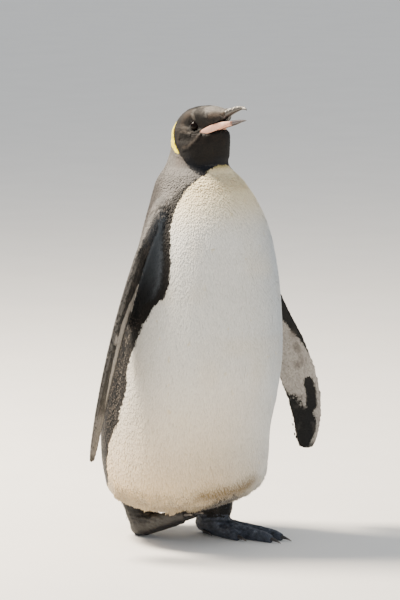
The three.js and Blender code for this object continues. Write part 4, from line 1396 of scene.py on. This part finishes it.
# The slit of the nostril: place ahead, height and depth.
NOSTRIL = {"ahead": 72, "height": 708, "depth": 0.6}


def fine_copy(node, cell, smoothing, passes, material, swell):
    """A finer, rounder mesh over a hard solid, as corners and triangles."""
    corners, triangles = node_arrays(node)
    swollen = corners + vertex_normals(corners, triangles) * swell
    co, fine, edges = voxel_mesh(swollen, triangles, cell, material)
    return relax(co, edges, np.full(len(co), smoothing), passes), fine


def add_hard_piece(name, node, co, triangles, colour, material):
    """A painted piece of horn, or an eyeball, in place of its solid."""
    piece = make_object(name, co, triangles, material)
    paint(piece, np.clip(colour, 0, 1))
    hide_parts(node)


def upper_bill_colours(co, ahead, height, slit):
    """Dark horn, worn pale in specks along the ridge."""
    worn = smoothstep(ahead, 60, 88) * fade(ahead, 136, 150)
    low = np.interp(ahead, BILL_SIDE[:, 0], BILL_SIDE[:, 1])
    high = np.interp(ahead, BILL_SIDE[:, 0], BILL_SIDE[:, 2])
    ridge = smoothstep((height - low) / (high - low) + noise(co, 3, 84) * 0.16, 0.6, 0.85)
    specks = smoothstep(noise(co, 1.7, 85) + noise(co, 5, 86) * 0.5, 0.05, 0.3)
    colour = mix(plain("#1f1c1b", len(co)), "#4c4741", worn * ridge * 0.8)
    colour = mix(colour, "#e4dfd4", worn * ridge * specks * 0.85)
    # Painted shade in the slit of the nostril.
    return mix(colour, "#100e0e", slit * 0.9)


def lower_bill_colours(co, ahead, out, normal):
    """Pink sides under the plates, and dark horn towards the tip."""
    pink = smoothstep(np.abs(out), 1.5, 3) * smoothstep(-normal[:, 2], -0.75, -0.4)
    pink = pink * fade(ahead + noise(co, 4, 87) * 4, 100, 110)
    colour = mix(plain("#1f1c1b", len(co)), "#c99580", pink)
    colour = mix(colour, "#352e32", smoothstep(ahead, 102, 112))
    return mix(colour, "#1d1a1b", smoothstep(ahead, 138, 148))


class BuildBill(bpy.types.Operator):
    """The horny bill and the pink plates along the lower bill"""

    bl_idname = "penguin.bill"
    bl_label = "Bill"

    def execute(self, context):
        horn = horn_material("bill_horn", 0.42, 2.6)
        plate = horn_material("plate_horn", 0.36, 3.2)
        for name in ("bill_upper", "bill_lower"):
            co, triangles = fine_copy(name, 0.75, 0.5, 4, horn, 0.15)
            ahead, out, height = head_place(co)
            normal = vertex_normals(co, triangles)
            if name == "bill_upper":
                along_slit, over_slit = ahead - NOSTRIL["ahead"], height - NOSTRIL["height"]
                slit = np.exp(-(along_slit / 5) ** 2 - (over_slit / 0.9) ** 2)
                co = co - normal * (NOSTRIL["depth"] * slit)[:, None]
                colour = upper_bill_colours(co, ahead, height, slit)
            else:
                colour = lower_bill_colours(co, ahead, out, normal)
            colour = colour * (1 + 0.14 * noise(co, 2.2, 81))[:, None]
            add_hard_piece(name + "_horn", name, co, triangles, colour, horn)
            HARD_PARTS.append(BVHTree.FromPolygons(co.tolist(), triangles.tolist()))
        for side in SIDES:
            name = "bill_plate_" + side
            co, triangles = fine_copy(name, 0.6, 0.5, 4, plate, 0.2)
            ahead, _, height = head_place(co)
            if side == "left":
                # The lower rear corner is drawn in under the feathers of the chin.
                covered = fade(ahead, 76, 90) * fade(height - (ahead - 60) * 0.35, 684, 691)
                co = co + (np.array([0, 0, 2.5]) - LEFTWARD * 6) * covered[:, None]
            streaks = smoothstep(noise(co * [1, 1, 2.2], 7, 82), -0.1, 0.7)
            colour = mix(plain("#d39f88", len(co)), "#b98979", streaks * 0.5)
            colour = mix(colour, "#e8cfc0", smoothstep(noise(co, 10, 83), 0.1, 0.7) * 0.4)
            colour = mix(colour, "#6d5550", smoothstep(ahead, 96, 114) * 0.8)
            add_hard_piece(name + "_horn", name, co, triangles, colour, plate)
            HARD_PARTS.append(BVHTree.FromPolygons(co.tolist(), triangles.tolist()))
        return {"FINISHED"}


def eyeball(facing, up, ahead):
    """A ball with a slight bulge over the iris, as corners about its middle and triangles."""
    rings, turns = 40, 64
    bulge_height = 0.45
    slope = np.linspace(0, math.pi, rings + 1)[1:-1]
    around = np.arange(turns) * 2 * math.pi / turns
    radius = EYE_RADIUS + bulge_height * np.exp(-(slope / 0.5) ** 2)
    ring = radius[:, None, None] * (
        facing * np.cos(slope)[:, None, None]
        + (ahead * np.cos(around)[:, None] + up * np.sin(around)[:, None]) * np.sin(slope)[:, None, None])
    co = np.concatenate([ring.reshape(-1, 3), [facing * (EYE_RADIUS + bulge_height)], [-facing * EYE_RADIUS]])
    row, turn = np.divmod(np.arange((rings - 2) * turns), turns)
    here, beside = row * turns + turn, row * turns + (turn + 1) % turns
    first = np.stack([here, here + turns, beside + turns], -1)
    second = np.stack([here, beside + turns, beside], -1)
    turn = np.arange(turns)
    last = (rings - 2) * turns
    front = np.stack([np.full(turns, last + turns), turn, (turn + 1) % turns], -1)
    rear = np.stack([np.full(turns, last + turns + 1), last + (turn + 1) % turns, last + turn], -1)
    return co, np.concatenate([first, second, front, rear])


class BuildEyes(bpy.types.Operator):
    """Two wet dark brown eyes"""

    bl_idname = "penguin.eyes"
    bl_label = "Eyes"

    def execute(self, context):
        material = eye_material()
        for side, centre, facing, up, ahead in eye_frames():
            ball, triangles = eyeball(facing, up, ahead)
            co = ball + centre
            tilt = np.degrees(np.arccos(np.clip(unit(co - centre) @ facing, -1, 1)))
            # Black pupil, dark brown iris and darker rim.
            colour = mix(plain("#050404", len(co)), "#160d09", smoothstep(tilt, 17, 20))
            colour = mix(colour, "#0e0806", smoothstep(tilt, 28, 33))
            add_hard_piece("eyeball_" + side, "eye_" + side, co, triangles, colour, material)
        return {"FINISHED"}


class BuildClaws(bpy.types.Operator):
    """Curved dark claws"""

    bl_idname = "penguin.claws"
    bl_label = "Claws"

    def execute(self, context):
        material = horn_material("claw_horn", 0.4, 2.0)
        for name in sorted(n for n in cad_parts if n.startswith("claw_")):
            co, triangles = fine_copy(name, 0.55, 0.45, 3, material, 0.12)
            co[:, 2] = np.maximum(co[:, 2], 0.02)
            low, high = co.min(0), co.max(0)
            share = (high[1] - co[:, 1]) / (high[1] - low[1])
            colour = mix(plain("#2e2a28", len(co)), "#8b8178", smoothstep(share, 0.55, 1.0) * 0.75)
            add_hard_piece(name + "_horn", name, co, triangles, colour, material)
        return {"FINISHED"}


# ---------------------------------------------------------------- stage

CAMERA_TO = np.array([-0.7002, -0.7002, 0.1392])
CAMERA_RIGHT = np.array([math.sqrt(0.5), -math.sqrt(0.5), 0])
CAMERA_UP = np.array([0.0984, 0.0984, 0.9903])
CAMERA_AWAY = 7000
CAMERA_LENS = 254.545
# Where the camera aims, to the right of and above the bird's middle.
AIM = {"right": 9.08, "up": 36.3}
MIDDLE_HEIGHT = 360
FLOOR_REACH = 40000
# Name, direction to the camera's right, towards it and up, distance, size, power and colour.
LIGHTS = [
    ("key", -1.0, -0.35, 1.5, 2800, 900, 370, "#fff1dc"),
    ("fill", 0.5, 1.2, 0.5, 3200, 2200, 12, "#e8eef5"),
]


def set_up(name, data, place, facing):
    """A lamp or camera at a place in millimetres, turned to look against its facing direction."""
    holder = bpy.data.objects.new(name, data)
    holder.location = Vector(place * MM)
    holder.rotation_euler = Vector(-facing).to_track_quat("-Z", "Y").to_euler()
    bpy.context.collection.objects.link(holder)
    return holder


class BuildStage(bpy.types.Operator):
    """Pale floor, soft studio lights and the camera"""

    bl_idname = "penguin.stage"
    bl_label = "Stage"

    def execute(self, context):
        self.add_floor(context.scene.penguin_colours.floor)
        world = bpy.data.worlds.new("studio")
        world.use_nodes = True
        backdrop = world.node_tree.nodes["Background"]
        backdrop.inputs["Color"].default_value = (*linear("#dfe4ea"), 1)
        backdrop.inputs["Strength"].default_value = 0.88
        context.scene.world = world

        middle = np.array([0, 0, MIDDLE_HEIGHT]) + ORIGIN_SHIFT
        for name, right, near, high, away, size, power, colour in LIGHTS:
            facing = unit(CAMERA_RIGHT * right + unit(CAMERA_TO * [1, 1, 0]) * near + np.array([0, 0, high]))
            lamp = bpy.data.lights.new(name, "AREA")
            lamp.size = size * MM
            lamp.energy = power
            lamp.color = linear(colour)
            set_up(name, lamp, middle + facing * away, facing)

        camera = bpy.data.cameras.new("camera")
        camera.sensor_width = 36
        camera.lens = CAMERA_LENS
        camera.clip_end = 100
        aim = middle + CAMERA_RIGHT * AIM["right"] + CAMERA_UP * AIM["up"]
        context.scene.camera = set_up("camera", camera, aim + CAMERA_TO * CAMERA_AWAY, CAMERA_TO)
        return {"FINISHED"}

    def add_floor(self, colour):
        """Matt studio floor: fine even grain that barely shows."""
        material, tree, shader = new_material("matt_studio_floor", Roughness=0.85, Specular_IOR_Level=0.2)
        place = add_node(tree, "ShaderNodeTexCoord").outputs["Object"]
        grain = add_node(tree, "ShaderNodeTexNoise", {"Vector": place}, Scale=6.0, Detail=4.0)
        tone = add_node(
            tree, "ShaderNodeMapRange", {"Value": grain.outputs["Fac"]}, To_Min=0.96, To_Max=1.04)
        base = add_node(tree, "ShaderNodeRGB")
        base.outputs[0].default_value = (*colour, 1)
        shaded = add_node(
            tree, "ShaderNodeVectorMath", {0: base.outputs[0], "Scale": tone.outputs["Result"]},
            operation="SCALE")
        tree.links.new(shaded.outputs["Vector"], shader.inputs["Base Color"])
        corners = np.array([[-1, -1, 0], [1, -1, 0], [1, 1, 0], [-1, 1, 0]], float) * FLOOR_REACH
        floor = make_object("floor", corners, np.array([[0, 1, 2, 3]]), material, smooth=False)


# ---------------------------------------------------------------- panel and registration

STEPS = [BuildSkin, BuildBill, BuildEyes, BuildClaws, BuildBodyCoat, BuildHeadCoat, BuildFlipperCoat,
         BuildLegAndTailCoat, BuildStage]


class PenguinPanel(bpy.types.Panel):
    """Lists the settings and the steps of the penguin"""

    bl_idname = "VIEW3D_PT_penguin"
    bl_label = "King penguin"
    bl_space_type = "VIEW_3D"
    bl_region_type = "UI"
    bl_category = "Penguin"

    def draw(self, context):
        for group in (context.scene.penguin_sizes, context.scene.penguin_colours):
            for key in group.bl_rna.properties.keys():
                if key not in ("rna_type", "name"):
                    self.layout.prop(group, key)
        for step in STEPS:
            self.layout.operator(step.bl_idname)


CLASSES = [PenguinSizes, PenguinColours, *STEPS, PenguinPanel]


def register():
    for item in CLASSES:
        bpy.utils.register_class(item)
    bpy.types.Scene.penguin_sizes = PointerProperty(type=PenguinSizes)
    bpy.types.Scene.penguin_colours = PointerProperty(type=PenguinColours)


def unregister():
    del bpy.types.Scene.penguin_sizes, bpy.types.Scene.penguin_colours
    for item in reversed(CLASSES):
        bpy.utils.unregister_class(item)


def main():
    register()
    bpy.ops.penguin.skin()
    bpy.ops.penguin.bill()
    bpy.ops.penguin.eyes()
    bpy.ops.penguin.claws()
    bpy.ops.penguin.body_coat()
    bpy.ops.penguin.head_coat()
    bpy.ops.penguin.flipper_coat()
    bpy.ops.penguin.leg_tail_coat()
    bpy.ops.penguin.stage()


if __name__ == "__main__":
    main()
